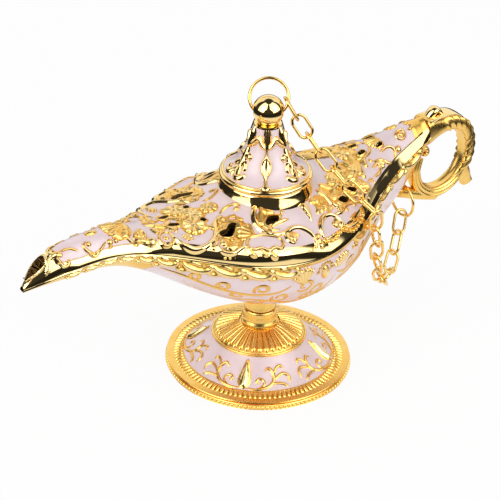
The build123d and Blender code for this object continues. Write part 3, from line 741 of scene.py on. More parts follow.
COVER_LOOPS = [
    # Closed outlines round enamel pools
    ([(-26, -22.9), (-23.3, -21.6), (-19.3, -22.5), (-15.8, -24.4), (-13.3, -26.6), (-13.6, -28.8),
      (-15.4, -29.9), (-17.3, -28.8), (-20.2, -28.7), (-22.5, -27), (-25.4, -26.2),
      (-26.7, -24.7)], 0.6, 0.95),
    ([(-57.1, -8.5), (-54.1, -6.6), (-51.4, -7), (-52.4, -10.8), (-54.6, -12.2),
      (-56.9, -11.4)], 0.55, 0.9),
    ([(63.5, -1.8), (65.9, -1.4), (66.8, -2.7), (65.7, -4.2), (63.5, -4.3), (62.7, -3.1)], 0.5, 0.9),
]
# Single beads: x, y, radius
COVER_BEADS = [
    (-46.6, -5.1, 1.1), (-45.6, -11.5, 1.2), (-27, -8.5, 1.3), (-25.3, -9.4, 0.8), (-23.8, -9.3, 0.8),
    (-22.5, -10, 0.85), (-22, -11.7, 0.85), (-21.3, -12.8, 0.8), (-19.8, -7.9, 1.0), (-34.2, -19.3, 1.6),
    (-29.9, -19.3, 1.0), (-28.5, -20.4, 0.9), (-39, -19.2, 1.1), (-64.4, -5.8, 1.0), (-60.4, -8.9, 1.7),
    (-55.2, -4.1, 1.4), (-54.6, -9.3, 1.1), (-8, -28.4, 1.5), (12.8, -28, 1.4), (2.6, -30.2, 1.0),
    (2.3, -31.6, 1.1), (2.5, -33, 1.3), (15.2, -21.7, 1.0), (35, -17.9, 0.9), (-85.3, -3.6, 0.9),
    (-76.8, -5.2, 1.1), (-77.2, -6.2, 0.8), (-74.3, -5.4, 0.9), (-72.4, -5.2, 0.9), (60.8, -6.6, 1.3),
    (64.8, -2.9, 1.0), (-12.2, -13.2, 0.9), (-31.5, -21.6, 0.8), (20.6, -17, 1.1), (22.4, -18.6, 0.8),
    (38.4, -12.6, 1.2), (42.6, -8.8, 1.1), (46, -7.6, 0.8), (31.4, -15, 0.9), (-43, -2.2, 0.8),
    (-32.6, -3.2, 0.9), (-33.4, -5.4, 0.7)]
# Rows of beads: spacing and radius, and their lines
ROW_SPACING, ROW_BEAD = 1.75, 0.8
COVER_ROWS = [
    [(-9.4, -31.9), (-7.7, -33), (-4.6, -33.5), (-2.5, -33.4), (-0.7, -33.1)],
    [(6.4, -32.4), (9, -32.4), (11, -31.8), (13.2, -30.8), (15, -29.8)],
    [(16.8, -30), (20, -30.2), (24, -28.6), (28.4, -25.8)],
    [(-36.5, -23.4), (-33, -25), (-29.4, -25.6)]]
# Daisies: x, y, radius, petals
COVER_DAISIES = [
    (-38.9, -6.5, 5.0, 9), (-45.6, -11.5, 2.3, 6), (-34.6, -1.2, 3.4, 8)]
MIDLINE_DAISIES = [(-27.2, 0.0, 3.6, 7), (38.6, 0.3, 3.2, 7)]
# Fans: hinge, tip, ribs, spread in degrees
COVER_FANS = [
    ((-20.7, -21.7), (-25.6, -16.6), 5, 110), ((22, -24.6), (19, -20), 5, 80),
    ((47, -8), (51, -10.6), 4, 80), ((31.6, -3.4), (25.4, -12.2), 5, 62),
    ((41.6, -4.8), (35.6, -11.2), 5, 60)]
MIDLINE_FANS = [((-68, 0), (-77.4, 0), 7, 78), ((57, 0), (50, 0), 6, 80)]
# Patches of gold ground: x, y, radius
GROUND = [
    (-39, -6.5, 5.4), (-30.5, -12, 3.6), (-27, 0, 3.6), (-33, 0, 4), (-25, -15, 4.2), (-13, -18, 4.0),
    (-39, 0, 4), (12, -19, 3.6), (20, -16, 5.2), (28, -12, 5.6), (26, -18, 4.2), (35, -8, 5.2),
    (34, -16, 3.6), (41, -3, 4.6), (-70, -2, 4.6), (-64, -6, 2.4), (-53, -3, 2.6), (-30, -20, 3.8),
    (-104, 0, 6), (-47, -3, 2.4)]
# Piercings through the cover, in plan
PIERCINGS = [
    [(-32.5, -14.2), (-29.2, -14), (-26.8, -12.6), (-24.3, -13.7), (-26.7, -16.4), (-29.6, -18),
     (-32.8, -16.4)],
    [(-12.4, -17.8), (-8.6, -18.8), (-9.4, -20.4), (-12.2, -20.6), (-14.4, -20.2), (-14.3, -18.9)],
    [(-49, -2.9), (-46.8, -1.9), (-43.8, -2.9), (-44.4, -4.1), (-47.2, -3.9)],
    [(27.4, -15.6), (31, -16.6), (30, -18.2), (27.8, -17.4)],
    [(20.2, -19.6), (23.2, -18.6), (24.8, -20.4), (21.8, -21.4)],
    [(-34.8, -4.8), (-33, -4.2), (-32.6, -6.2), (-34.4, -6.6)],
    [(43.6, -2.4), (46.6, -1.6), (47, -3.2), (44.2, -3.8)],
    [(52.4, -2.6), (55.6, -2), (55.2, -3.6), (52.8, -3.8)]]
MOUTH = [
    (-110.4, 0), (-108.4, -1.3), (-105.8, -2.3), (-103.4, -2.1), (-102.5, 0), (-103.4, 2.1),
    (-105.8, 2.3), (-108.4, 1.3)]


def both(points):
    """Plan points on the front, and their mirror on the back."""
    return points, [(x, -y) for x, y in points]


def distance_to(outline, xy):
    """Signed distance in plan: negative inside a closed outline, with the nearest outline points."""
    gap = np.linalg.norm(xy[:, None] - outline[None], axis=2)
    nearest = gap.argmin(1)
    d = gap[np.arange(len(xy)), nearest]
    a, b = outline, np.roll(outline, -1, 0)
    x, y = xy[:, :1], xy[:, 1:]
    meets = (b[:, 0] - a[:, 0]) * (y - a[:, 1]) / (b[:, 1] - a[:, 1] + 1e-12) + a[:, 0]
    crossing = ((a[:, 1] > y) != (b[:, 1] > y)) & (x < meets)
    inside = crossing.sum(1) % 2 == 1
    return np.where(inside, -d, d), outline[nearest]


OUTLINE_STEPS = 24
OUTLINES = [curve_through(points, OUTLINE_STEPS, closed=True)
            for points in [MOUTH] + [line for hole in PIERCINGS for line in both(hole)]]
# The holes are all above this height
HOLES_ABOVE = 60


def pierce(points, snap):
    """Moves grid points onto the outlines of the holes, and says which cells of the grid stay."""
    rows, columns, _ = points.shape
    flat = points.reshape(-1, 3)
    out = np.zeros(len(flat), bool)
    for outline in OUTLINES:
        low, high = outline.min(0) - 1.5, outline.max(0) + 1.5
        nearby = np.all((flat[:, :2] > low) & (flat[:, :2] < high), axis=1)
        spots = np.nonzero(nearby & (flat[:, 2] > HOLES_ABOVE))[0]
        d, nearest = distance_to(outline, flat[spots][:, :2])
        close = np.abs(d) < snap
        flat[spots[close], :2] = nearest[close]
        out[spots[(d < 0) | close]] = True
    drop = out.reshape(rows, columns)
    keep = ~(drop[:-1, :-1] & drop[1:, :-1] & drop[:-1, 1:] & drop[1:, 1:])
    return flat.reshape(rows, columns, 3), keep


def hole_walls(points, drops, keep):
    """Walls down from the edges where kept cells meet dropped ones, with the drop at each point."""
    rows, columns = keep.shape
    width = columns + 1
    edges = []
    for i in range(rows):
        for j in range(columns):
            if keep[i, j]:
                continue
            a, b = i * width + j, i * width + j + 1
            c, d = (i + 1) * width + j + 1, (i + 1) * width + j
            if i > 0 and keep[i - 1, j]:
                edges.append((a, b))
            if i < rows - 1 and keep[i + 1, j]:
                edges.append((c, d))
            if j > 0 and keep[i, j - 1]:
                edges.append((d, a))
            if j < columns - 1 and keep[i, j + 1]:
                edges.append((b, c))
    places, wall, faces = {}, [], []
    for a, b in edges:
        for k in (a, b):
            if k not in places:
                places[k] = len(wall)
                wall += [points[k], points[k] - drops[k]]
        faces.append((places[a] + 1, places[b] + 1, places[b], places[a]))
    return wall, faces


# How far the rim stands out along the spout and the tail
LEAN_X = [-97, -91, -72, -62, 42, 50, 60, 74, 79]
LEAN = [0, 0.5, 0.5, 0, 0, 1.5, 1.5, 0.9, 0]
# Width of the polished band, and where the shoulder inside it swells
BAND_X = [-112, -99, -90, -70, -50, -20, 30, 55, 79]
BAND = [9, 4.4, 3.3, 3.6, 5, 6.2, 5.6, 4.6, 4]
SWELL_X, SWELL_SHARE, SWELL = [-64, -54, -12, 6], [0, 1, 1, 0], 1.95
ENAMEL_STEP, NECK_RAISE = 0.55, 1.5
# Gilt ends of the cover, and where the leafage stops
NOZZLE_X, TAIL_X, LEAFAGE_X = -98.8, 70.5, 44
NECK_HOLE, NECK_BORE = 16, 14.6
MOUTH_DEPTH, HOLE_DEPTH = 3.4, 1.9
# Grid points this close to the outline of a hole move onto it
SNAP, LINING_SNAP = 0.15, 0.5
# Just off the middle, so that a point has a side
MIDLINE = 0.01
FLOWER_HEIGHT, MIDLINE_FLOWER_HEIGHT, MIDLINE_FAN_HEIGHT = 1.15, 1.0, 1.1
LEAF_SPACING, LEAF_LENGTH = 3.6, 5.2
# What polishing leaves of the tooled height
RELIEF_SHARE = 0.85
FROM_X, SPLIT_X, TO_X = -112, -50, 79
SPOUT_ROWS, BODY_ROWS, COVER_COLUMNS = 220, 500, 371


def cover_rows(spout_rows, body_rows):
    """Rows closer together over the body than along the spout."""
    spout = np.linspace(FROM_X, SPLIT_X, spout_rows, endpoint=False)
    return np.concatenate([spout, np.linspace(SPLIT_X, TO_X, body_rows)])


def tool_cover(work):
    """Scrolls, loops, beads, daisies and fans of the cover, and the rims of its openings."""
    for px, py, reach in GROUND:
        for spot in both([(px, py)]):
            work.ground(on_cover(spot)[0], reach)
    for points, width, height in COVER_RIBS:
        for line in both(points):
            work.rib(on_cover(curve_through(line, 14)), width, height, shine=0.8 * (height > 1))
    for points, width, height in COVER_LOOPS:
        for line in both(points):
            work.rib(on_cover(curve_through(line, 12, closed=True)), width, height, ends=1.0)
    for outline in OUTLINES[1:]:
        work.rib(on_cover(outline[::2]), 0.62, 0.75, ends=1.0)
    work.rib(on_cover(OUTLINES[0][::2]), 0.75, 0.9, ends=1.0, shine=1.0)
    for px, py, radius in COVER_BEADS:
        for spot in both([(px, py)]):
            work.bead(on_cover(spot)[0], radius)
    for px, py, radius, petals in COVER_DAISIES:
        for spot in both([(px, py)]):
            work.daisy(on_cover(spot)[0], radius, petals, FLOWER_HEIGHT)
    for px, py, radius, petals in MIDLINE_DAISIES:
        work.daisy(on_cover([(px, py + MIDLINE)])[0], radius, petals, MIDLINE_FLOWER_HEIGHT)
    for hinge, tip, ribs, spread in COVER_FANS:
        for ends in both([hinge, tip]):
            work.fan(*on_cover(ends), ribs, spread, FLOWER_HEIGHT)
    for hinge, tip, ribs, spread in MIDLINE_FANS:
        ends = on_cover([(hinge[0], MIDLINE), (tip[0], MIDLINE)])
        work.fan(*ends, ribs, spread, MIDLINE_FAN_HEIGHT)
    pearl = [(px, MIDLINE) for px in (-83.4, -82.4, -81.4, -80.4)]
    work.rib(on_cover(pearl), 1.35, 1.0, ends=0.75)


def build_cover():
    xs = cover_rows(SPOUT_ROWS, BODY_ROWS)
    ts = np.linspace(-1, 1, COVER_COLUMNS)
    grid = cover_at(xs[:, None], ts[None])
    from_rim = from_edges(grid)
    grid, keep = pierce(grid, SNAP)
    work = Relief(grid, flip=True)
    band = np.interp(xs, BAND_X, BAND)[:, None]
    rise = (from_rim - band).ravel()
    x = work.points[:, 0]
    step = ENAMEL_STEP * np.clip(rise / 0.8 + 0.5, 0, 1)
    step *= np.clip((x + 100) / 1.5, 0, 1) * np.clip((76 - x) / 4, 0, 1)
    work.gild_where(-rise)
    work.gild_where(NOZZLE_X - x)
    work.gild_where(x - TAIL_X)
    plain = work.gild > 0
    work.polish = np.clip(np.maximum(np.clip(0.5 - rise / 0.6, 0, 1), np.clip(-(x + 98.6), 0, 1)), 0, 1)
    steep = np.interp(xs, SWELL_X, SWELL_SHARE)[:, None]
    lean = np.interp(xs, LEAN_X, LEAN)[:, None]
    swell = SWELL * steep * np.clip(from_rim / 3.5, 0, 1) * np.clip((band + 9 - from_rim) / 8, 0, 1)
    swell = (swell + lean * np.clip(1 - from_rim / 3.3, 0, 1)).ravel()
    by_neck = np.clip((26 - np.hypot(x, work.points[:, 1])) / 8, 0, 1)
    step = step + NECK_RAISE * by_neck**2 * (3 - 2 * by_neck)
    tool_cover(work)
    leafy = (work.gild > 0.1) & (work.high < 0.05) & ~plain & ~work.quiet & (x < LEAFAGE_X)
    work.leafage(leafy, LEAF_SPACING, LEAF_LENGTH)
    standing = work.high > 0.05
    work.soften(2)
    work.polish[standing & (x > -96)] *= 0.15
    work.high = work.high * RELIEF_SHARE + np.maximum(step, swell)
    work.clear_links()
    open_neck = np.hypot(grid[:-1, :-1, 0], grid[:-1, :-1, 1]) > NECK_HOLE
    work.cast_patches("cover", "top_cover", SPOUT_ROWS, keep & open_neck)
    drops = work.normals * np.where(x < -100, MOUTH_DEPTH, HOLE_DEPTH)[:, None]
    points, faces = hole_walls(work.raised(), drops, keep)
    settle(cast("cover_hole_walls", points, faces, LINING), "lamp", "gilt", "top_cover")


def build_cover_lining():
    xs = cover_rows(40, 90)[2:-1]
    ts = np.linspace(-1, 1, 120)
    grid = cover_at(xs[:, None], ts[None], WALL)
    grid, keep = pierce(grid, LINING_SNAP)
    keep &= np.hypot(grid[:-1, :-1, 0], grid[:-1, :-1, 1]) > NECK_BORE
    faces = weave(len(xs), len(ts), keep=keep, flip=True)
    settle(cast("cover_lining", grid.reshape(-1, 3), faces, LINING), "lamp", "gilt", "top_cover")


def build_neck():
    profile = [(17.6, 77.6), (18.9, 78.6), (19.1, 79.4), (18.9, 80.4), (18.4, 81.6), (17.8, 83.0),
               (17.3, 84.4), (17.1, 85.1), (16.9, 85.3), (16.6, 85.4), (14.9, 85.4), (14.6, 85.1),
               (14.6, 77.4)]
    turned("neck_collar", "top_cover", profile, 160, POLISHED, 50)


# Bowl: tooling in (x, distance down from the parting line), with half width and height
BORDER_LEAF = [
    ([(-5.6, 1.2), (-4.2, 3.4), (-1.4, 5.0), (2.0, 5.2), (4.4, 3.8), (4.2, 2.2), (2.6, 2.0)],
     (0.8, 1.5, 1.35, 0.8), 1.2),
    ([(-2.4, 4.6), (-4.4, 6.2), (-6.4, 5.4), (-5.8, 4.0)], (1.0, 1.1, 0.6), 1.0),
    ([(-3.8, 2.0), (-1.4, 1.6), (0.6, 2.6), (0.4, 3.4)], (0.8, 1.0, 0.7), 0.9)]
BOWL_VINES = [
    [(-58, 6.4), (-50, 9), (-42, 12.4), (-33, 15.4), (-24, 16.4), (-16, 14.6), (-11, 11)],
    [(-30, 24), (-22, 21), (-14, 22.5), (-6, 26), (2, 25), (8, 20), (12, 14)],
    [(12, 12), (18, 16), (26, 17), (34, 14), (41, 10)],
    [(16, 24), (24, 22), (32, 20), (40, 16), (48, 11)],
    [(-8, 35), (0, 31), (9, 30), (18, 30), (27, 27)]]
# Spirals: x, distance down, radius, start and sweep in degrees
BOWL_CURLS = [
    (-36, 11.8, 2.6, 90, -400), (-22, 12.2, 3.2, 120, 420), (-13, 18.6, 3.6, 200, -420),
    (-4, 12.6, 3.8, 150, -420), (3.5, 17.4, 3.8, 20, 420), (20, 12, 2.8, 130, -400),
    (30, 12.4, 2.5, 60, 400), (-20, 25.4, 3.2, 260, 400), (-1, 21.4, 2.8, 300, -380),
    (18, 20, 3.0, 250, 400), (33, 24, 2.6, 120, -380), (8, 34.6, 2.8, 280, 380),
    (-46, 8.6, 2.2, 90, -380), (42, 12.6, 2.0, 80, 380), (10, 25.2, 2.6, 80, 380),
    (-29, 17.6, 2.6, 30, 380)]
# Leaves of the border stop at the shells in the middle of each side
BORDER_PITCH, SPOUT_PITCH = 10.4, 7.4
SHELLS_FROM, SHELLS_TO = -14, 22
SHELLS = [((-5.6, 11.8), (-7.4, 2.6), 82), ((13.6, 10.6), (12.2, 3.0), 100)]
OVAL = [(3.7, 6.4), (4.2, 7.8), (4.8, 9.2), (5.2, 10.4)]
CROWN_BEADS = 7
SHELL_RIBS, SHELL_HEIGHT = 6, 1.8
VINE_HALF, CURL_HALF, VINE_HEIGHT = (0.55, 0.8, 0.6), (0.75, 0.66, 0.75), 0.5
BOWL_SPOUT_ROWS, BOWL_BODY_ROWS, BOWL_COLUMNS, BOWL_SPLIT_X = 110, 440, 421, -62
LINING_EVERY, LINING_COLUMNS = 5, 90


def border_size(x):
    """Size of the border's leaves, smaller where the body is shallow."""
    return np.clip((RIM(x) - KEEL(x)) * 0.4, 3.4, 7.0) / 7.0


def tool_bowl(work, side):
    """Border, shells, oval, crown and painted vines of one side: -1 is the front, 1 the back."""
    def on_side(points):
        return on_bowl([(px, side * max(py, 0.4)) for px, py in points])

    for place in [*np.arange(-93, -62, SPOUT_PITCH), *np.arange(-56, 70, BORDER_PITCH)]:
        if SHELLS_FROM < place < SHELLS_TO:
            continue
        k = float(border_size(place))
        for points, width, height in BORDER_LEAF:
            line = curve_through([(place + px * k, py * k) for px, py in points])
            work.rib(on_side(line), np.array(width) * k ** 0.5, height)
    for hinge, tip, spread in SHELLS:
        work.fan(*on_side([hinge, tip]), SHELL_RIBS, spread, SHELL_HEIGHT)
    work.rib(on_side(OVAL), 2.0, 1.35, ends=0.8)
    for k in range(CROWN_BEADS):
        turn = math.radians(180 + 30 * k)
        work.bead(on_side([(3.9 + 3.5 * math.cos(turn), 7.2 + 3.7 * math.sin(turn))])[0], 0.8)
    for vine in BOWL_VINES:
        work.rib(on_side(curve_through(vine)), VINE_HALF, VINE_HEIGHT)
    for spiral in BOWL_CURLS:
        work.rib(on_side(curl(*spiral)), CURL_HALF, VINE_HEIGHT)


def build_bowl():
    xs = np.concatenate([np.linspace(FROM_X, BOWL_SPLIT_X, BOWL_SPOUT_ROWS, endpoint=False),
                         np.linspace(BOWL_SPLIT_X, TO_X, BOWL_BODY_ROWS)])
    grid = bowl_at(xs[:, None], np.linspace(-1, 1, BOWL_COLUMNS)[None])
    down = from_edges(grid).ravel()
    work = Relief(grid)
    x, y, z = work.points.T
    leafy = np.interp(x, [-15, -12, 20, 23], [1, 0, 0, 1])
    waves = np.abs(np.sin(np.pi * (x + 56) / BORDER_PITCH))
    work.gild_where(2.2 + leafy * border_size(x) * (1.5 + 1.6 * waves) - down)
    work.gild_where(-60 - 2.2 * np.abs(np.sin(down * 0.5)) - x)
    work.gild_where(x - 66)
    work.gild_where(np.where(z < 40, 8.6 - np.hypot(x, y), BARE))
    work.polish = np.clip(1.3 - down, 0, 1) * 0.9 + np.clip((-66 - x) / 4, 0, 1) * 0.4
    work.high = np.maximum(work.high, 0.5 * np.clip(1 - np.abs(down - 0.75) / 0.75, 0, 1) ** 0.6)
    for side in (-1, 1):
        tool_bowl(work, side)
    work.soften(2)
    lip = (np.minimum(np.interp(x, LEAN_X, LEAN), 0.9) + 0.14) * np.clip(1 - down / 1.6, 0, 1)
    work.high = np.maximum(work.high, lip)
    work.clear_links()
    work.cast_patches("bowl", "bowl", BOWL_SPOUT_ROWS)
    build_bowl_lining(xs[2:-1:LINING_EVERY])


def build_bowl_lining(xs):
    """The inside of the bowl, with a land out to the edge of its skin."""
    inner = bowl_at(xs[:, None], np.linspace(-1, 1, LINING_COLUMNS)[None], WALL)
    edge = bowl_at(xs[:, None], np.array([[-1.0, 1.0]]), 0.0)
    inner = np.concatenate([edge[:, :1], inner, edge[:, 1:]], axis=1)
    faces = weave(*inner.shape[:2], flip=True)
    settle(cast("bowl_lining", inner.reshape(-1, 3), faces, LINING), "lamp", "gilt", "bowl")


def build_stem():
    upper = [(2.1, 25.55), (5.7, 25.55), (6.05, 25.8), (6.05, 26.3), (5.9, 26.7), (5.85, 30.5), (6.0, 32.2),
             (6.5, 33.6), (7.4, 34.8), (7.6, 35.6)]
    turned("stem_upper", "bowl", upper, 96, SATIN, 40)
    lower = [(7.0, 18.4), (7.4, 18.9), (7.5, 19.5), (7.3, 20.1), (6.95, 20.7), (6.8, 21.2), (6.75, 21.8),
             (6.7, 23.0), (6.75, 24.6), (6.6, 25.1), (6.35, 25.35), (2.3, 25.4)]
    turned("stem_lower", "base_foot", lower, 96, SATIN, 40)


# Foot
SIDE_BEADS, GADROONS, FLUTES = 128, 106, 40
DROPS = 4
FIRST_DROP = math.radians(-139)
SLOPE_FOOT_R, SLOPE_TOP_R = 30.5, 18.5
SLOPE_GRID = 620, 56
DROP_HALF = (1.5, 1.95, 1.85, 1.4, 0.8, 0.2)
DROP_HEIGHT, SLOPE_VINE_HEIGHT = 1.5, 0.55


def build_foot():
    rim = [(35.0, 1.5), (35.0, 0.25), (35.3, 0.0), (36.5, 0.0), (36.8, 0.25), (36.55, 0.5), (36.55, 2.05),
           (36.8, 2.2), (36.6, 2.4), (36.0, 2.5), (36.0, 2.85), (36.5, 2.95), (36.75, 3.2), (36.6, 3.5),
           (36.2, 3.6), (33.4, 3.75), (33.1, 3.55), (32.7, 3.45), (30.9, 4.1), (30.4, 4.45)]
    turned("foot_rim", "base_foot", rim, 220, SATIN, 35)
    settle(bead_ring("foot_side_beads", 36.45, 1.28, SIDE_BEADS, 0.86, SATIN), "lamp", "gilt", "base_foot")
    under = [(2.3, 24), (2.3, 8.6), (6.4, 8.6), (6.4, 16.9), (16.3, 11.9), (24, 5.6), (30.5, 2.5),
             (35.0, 1.5)]
    turned("foot_underside", "base_foot", under, 120, LINING, 30)
    ribs = RING_OF_COPIES.make("foot_gadroon", gadroon_rib(), Count=GADROONS, Material=SATIN)
    settle(ribs, "lamp", "gilt", "base_foot")
    build_foot_slope()
    core = [(18.4, 13.7), (17.9, 14.4), (16.2, 15.3), (13, 16.8), (10, 18.0), (7.4, 18.6), (6.2, 18.8)]
    turned("dome_core", "base_foot", core, 120, SATIN, 60)
    edge = [(18.7, 13.3), (19.05, 13.6), (19.0, 14.0), (18.6, 14.25), (18.2, 14.2)]
    turned("dome_edge", "base_foot", edge, 160, SATIN, 60)
    tongues = RING_OF_COPIES.make("dome_flutes", flute_tongue(), Count=FLUTES, Material=SATIN)
    settle(tongues, "lamp", "gilt", "base_foot")


def pillow(path, half_widths, heights, across=9):
    """A raised strip with a rounded back along a path of points, as a mesh in metres."""
    path = np.asarray(path, float)
    along = np.gradient(path, axis=0)
    along /= np.linalg.norm(along, axis=1, keepdims=True)
    side = np.array([0.0, 1.0, 0.0])
    up = np.cross(along, side)
    up *= np.sign(up[:, 2:3])
    v = np.linspace(-1, 1, across)
    arch = np.asarray(heights)[:, None] * np.sqrt(np.clip(1 - v**2, 0, 1))[None]
    points = path[:, None] + side * (v[None, :, None] * np.asarray(half_widths)[:, None, None])
    points = points + up[:, None] * arch[..., None]
    mesh = bpy.data.meshes.new("strip")
    inwards = along[0, 0] < 0
    faces = weave(len(path), across, flip=not inwards)
    mesh.from_pydata((points.reshape(-1, 3) * MM).tolist(), [], faces)
    return mesh


def gadroon_rib():
    r = np.linspace(34.1, 30.3, 9)
    z = np.linspace(3.3, 4.4, 9)
    bulge = np.sqrt(np.clip(1 - np.linspace(-1, 1, 9) ** 2, 0, 1))
    return pillow(np.stack([r, 0 * r, z], -1), 0.4 + 0.36 * bulge, 0.2 + 0.6 * bulge, 7)


def flute_tongue():
    share = np.linspace(0, 1, 18)
    r = 17.9 + (8.1 - 17.9) * share
    z = np.interp(r, [8.1, 10, 13, 16.2, 17.9], [18.5, 18.05, 16.85, 15.35, 14.35])
    half = 0.9 * np.pi * r / FLUTES * np.clip(share / 0.1, 0.02, 1) ** 0.5
    high = 1.05 * np.clip(share / 0.12, 0.02, 1) ** 0.5 * (1 - 0.45 * share)
    return pillow(np.stack([r, 0 * r, z], -1), half, high)


def slope_at(angle, share):
    """The foot's enamel slope: share 0 at the gadroon ring, 1 at the dome's edge."""
    r = SLOPE_FOOT_R + (SLOPE_TOP_R - SLOPE_FOOT_R) * share
    z = 4.4 + 9.3 * share - 3.2 * share * (1 - share)
    return np.stack(np.broadcast_arrays(r * np.cos(angle), r * np.sin(angle), z), -1)


# Scrolls beside each drop of the foot: degrees round the foot and share of the way up, with their half width
SLOPE_VINE = [
    ([(2, 0.1), (11, 0.08), (19, 0.15), (25, 0.32), (26, 0.54), (22.4, 0.68), (18, 0.62)], 0.62),
    ([(25, 0.34), (31, 0.47), (36, 0.5), (39.4, 0.4), (39, 0.24)], 0.55),
    ([(22, 0.22), (28, 0.25), (33.4, 0.2), (36, 0.1)], 0.52),
    ([(26, 0.52), (29.6, 0.67), (34, 0.72), (36.6, 0.64)], 0.5),
    ([(12, 0.1), (16.6, 0.22), (16.4, 0.36), (12.6, 0.4), (10.6, 0.32), (12.4, 0.26)], 0.5)]
DROP_EDGE = [(0, 0.09), (4.4, 0.26), (4.0, 0.5), (0, 0.86), (-4.0, 0.5), (-4.4, 0.26)]


def build_foot_slope():
    angles = np.linspace(0, TAU, SLOPE_GRID[0], endpoint=False)
    shares = np.linspace(0, 1, SLOPE_GRID[1])
    grid = wrap_round(slope_at(angles[:, None], shares[None]))
    work = Relief(grid, flip=True)
    share = np.tile(shares, len(grid))
    work.gild_where((0.035 - share) * 15, 0.5)
    work.gild_where((share - 0.965) * 15, 0.5)
    for k in range(DROPS):
        home = FIRST_DROP + k * TAU / DROPS
        drop = np.linspace(0.2, 0.78, 30)
        work.rib(slope_at(home + 0 * drop, drop), DROP_HALF, DROP_HEIGHT, ends=0.95, shine=0.4)
        edge = curve_through(DROP_EDGE, 10, closed=True)
        work.rib(slope_at(home + np.radians(edge[:, 0]), edge[:, 1]), 0.4, SLOPE_VINE_HEIGHT, ends=1.0)
        for hand in (1, -1):
            for points, width in SLOPE_VINE:
                flat = curve_through(points)
                line = slope_at(home + hand * np.radians(flat[:, 0]), flat[:, 1])
                work.rib(line, (width * 0.7, width, width), SLOPE_VINE_HEIGHT)
    work.soften(1)
    work.cast_round("foot_slope", "lamp", "base_foot")


# Lid
TENT = curve_through([(17.25, 87.95), (11.87, 92.05), (8.29, 98.6), (5.3, 108.35)], 20)
TENT_RUN = run_of(TENT)
TENT_RUN /= TENT_RUN[-1]
LID_RIBS = 6
FRONT_RIB = math.radians(-128)
TENT_GRID = 560, 110
# Half width of a spindle rib at shares of the way up the lid
SPINDLE_UP = [0, 0.05, 0.12, 0.2, 0.3, 0.4, 0.48, 0.54, 0.6, 0.66, 0.74, 0.83, 0.92, 1]
SPINDLE_HALF = [1.7, 1.2, 0.75, 0.6, 1.5, 2.05, 1.5, 0.85, 0.55, 0.45, 0.95, 1.65, 1.45, 1.25]
# Lines of the lid's two kinds of rib: distance aside and share of the way up, half width, height
SPINDLE_LINES = [
    ([(0.2, 0.22), (1.35, 0.31), (1.75, 0.4), (1.25, 0.49), (0.2, 0.56)], 0.42, 1.35),
    ([(0.4, 0.67), (1.9, 0.74), (3.0, 0.82), (3.3, 0.88)], (0.8, 1.0, 0.6), 1.1),
    ([(0.3, 0.02), (1.3, 0.05), (2.2, 0.02)], (0.7, 0.6, 0.4), 0.9)]
LEAF_LINES = [
    ([(0, 1), (0, 0.86), (0, 0.72), (0, 0.6)], (1.3, 1.6, 1.4, 0.9), 1.1),
    ([(0, 0.68), (0.1, 0.54), (0, 0.42), (0, 0.24)], (0.9, 1.4, 1.6, 1.2), 1.0),
    ([(0.4, 0.67), (1.9, 0.74), (3.0, 0.82), (3.3, 0.88)], (0.9, 1.1, 0.7), 1.1),
    ([(0.2, 0.47), (1.3, 0.5), (2.4, 0.5), (3.0, 0.44)], (1.2, 1.3, 0.8), 0.95),
    ([(0.3, 0.38), (1.8, 0.36), (3.0, 0.3), (3.3, 0.24)], (1.2, 1.2, 0.7), 0.9),
    ([(0, 0.34), (0.9, 0.22), (2.4, 0.13), (4.2, 0.12), (5.0, 0.18), (4.4, 0.22)], (1.2, 1.5, 1.2, 0.6), 1.1),
    ([(0, 0.3), (0, 0.2), (0, 0.08)], (1.3, 1.1, 0.5), 0.9)]


def tent_at(angle, share):
    r = np.interp(share, TENT_RUN, TENT[:, 0])
    z = np.interp(share, TENT_RUN, TENT[:, 1])
    return np.stack(np.broadcast_arrays(r * np.cos(angle), r * np.sin(angle), z), -1)


def build_tent():
    angles = np.linspace(0, TAU, TENT_GRID[0], endpoint=False)
    shares = np.linspace(0, 1, TENT_GRID[1])
    grid = wrap_round(tent_at(angles[:, None], shares[None]))
    work = Relief(grid, flip=True)
    share = np.tile(shares, len(grid))
    work.gild_where((0.03 - share) * 25, 0.5)
    for k in range(LID_RIBS):
        home = FRONT_RIB + k * TAU / LID_RIBS
        if k % 2 == 0:
            line = np.linspace(0, 1, 70)
            half = np.interp(line, SPINDLE_UP, SPINDLE_HALF)
            work.rib(tent_at(home + 0 * line, line), half, 0.85, ends=0.9)
        for points, width, height in LEAF_LINES if k % 2 else SPINDLE_LINES:
            for hand in (1, -1):
                flat = curve_through(points)
                r = np.interp(flat[:, 1], TENT_RUN, TENT[:, 0])
                work.rib(tent_at(home + hand * flat[:, 0] / r, flat[:, 1]), width, height)
    work.polish = np.clip(work.crest * 3, 0, 1) * 0.75
    work.soften(2)
    work.cast_round("lid_tent", "lid", "lid")


def arc(r, z, half_wide, half_high, start, end, steps):
    """Profile points round an ellipse, with the angles in half turns."""
    a = np.linspace(start * math.pi, end * math.pi, steps)
    return [(r + half_wide * math.cos(v), z + half_high * math.sin(v)) for v in a]


def build_lid():
    build_tent()
    rim = [(13.1, 80.45), (14.3, 80.45), (14.3, 85.45), (16.9, 85.45)]
    rim += arc(17.1, 86.72, 1.1, 1.2, -0.45, 1.05, 22) + [(16.6, 87.9)]
    rim += arc(16.85, 88.3, 0.45, 0.42, -0.35, 1, 12)
    turned("lid_rim", "lid", rim, 160, POLISHED, 45, "lid")
    hollow = [(13.1, 80.45), (13.1, 87.6), (10.1, 90.4), (6.6, 96.9), (3.6, 106.6), (2.1, 106.7),
              (2.1, 108.4)]
    turned("lid_lining", "lid", hollow, 110, LINING, 40, "lid")
    cap = [(5.45, 108.0), (5.35, 108.5), (4.6, 108.8), (2.0, 108.7)]
    turned("lid_cap", "lid", cap, 96, POLISHED, 50, "lid")


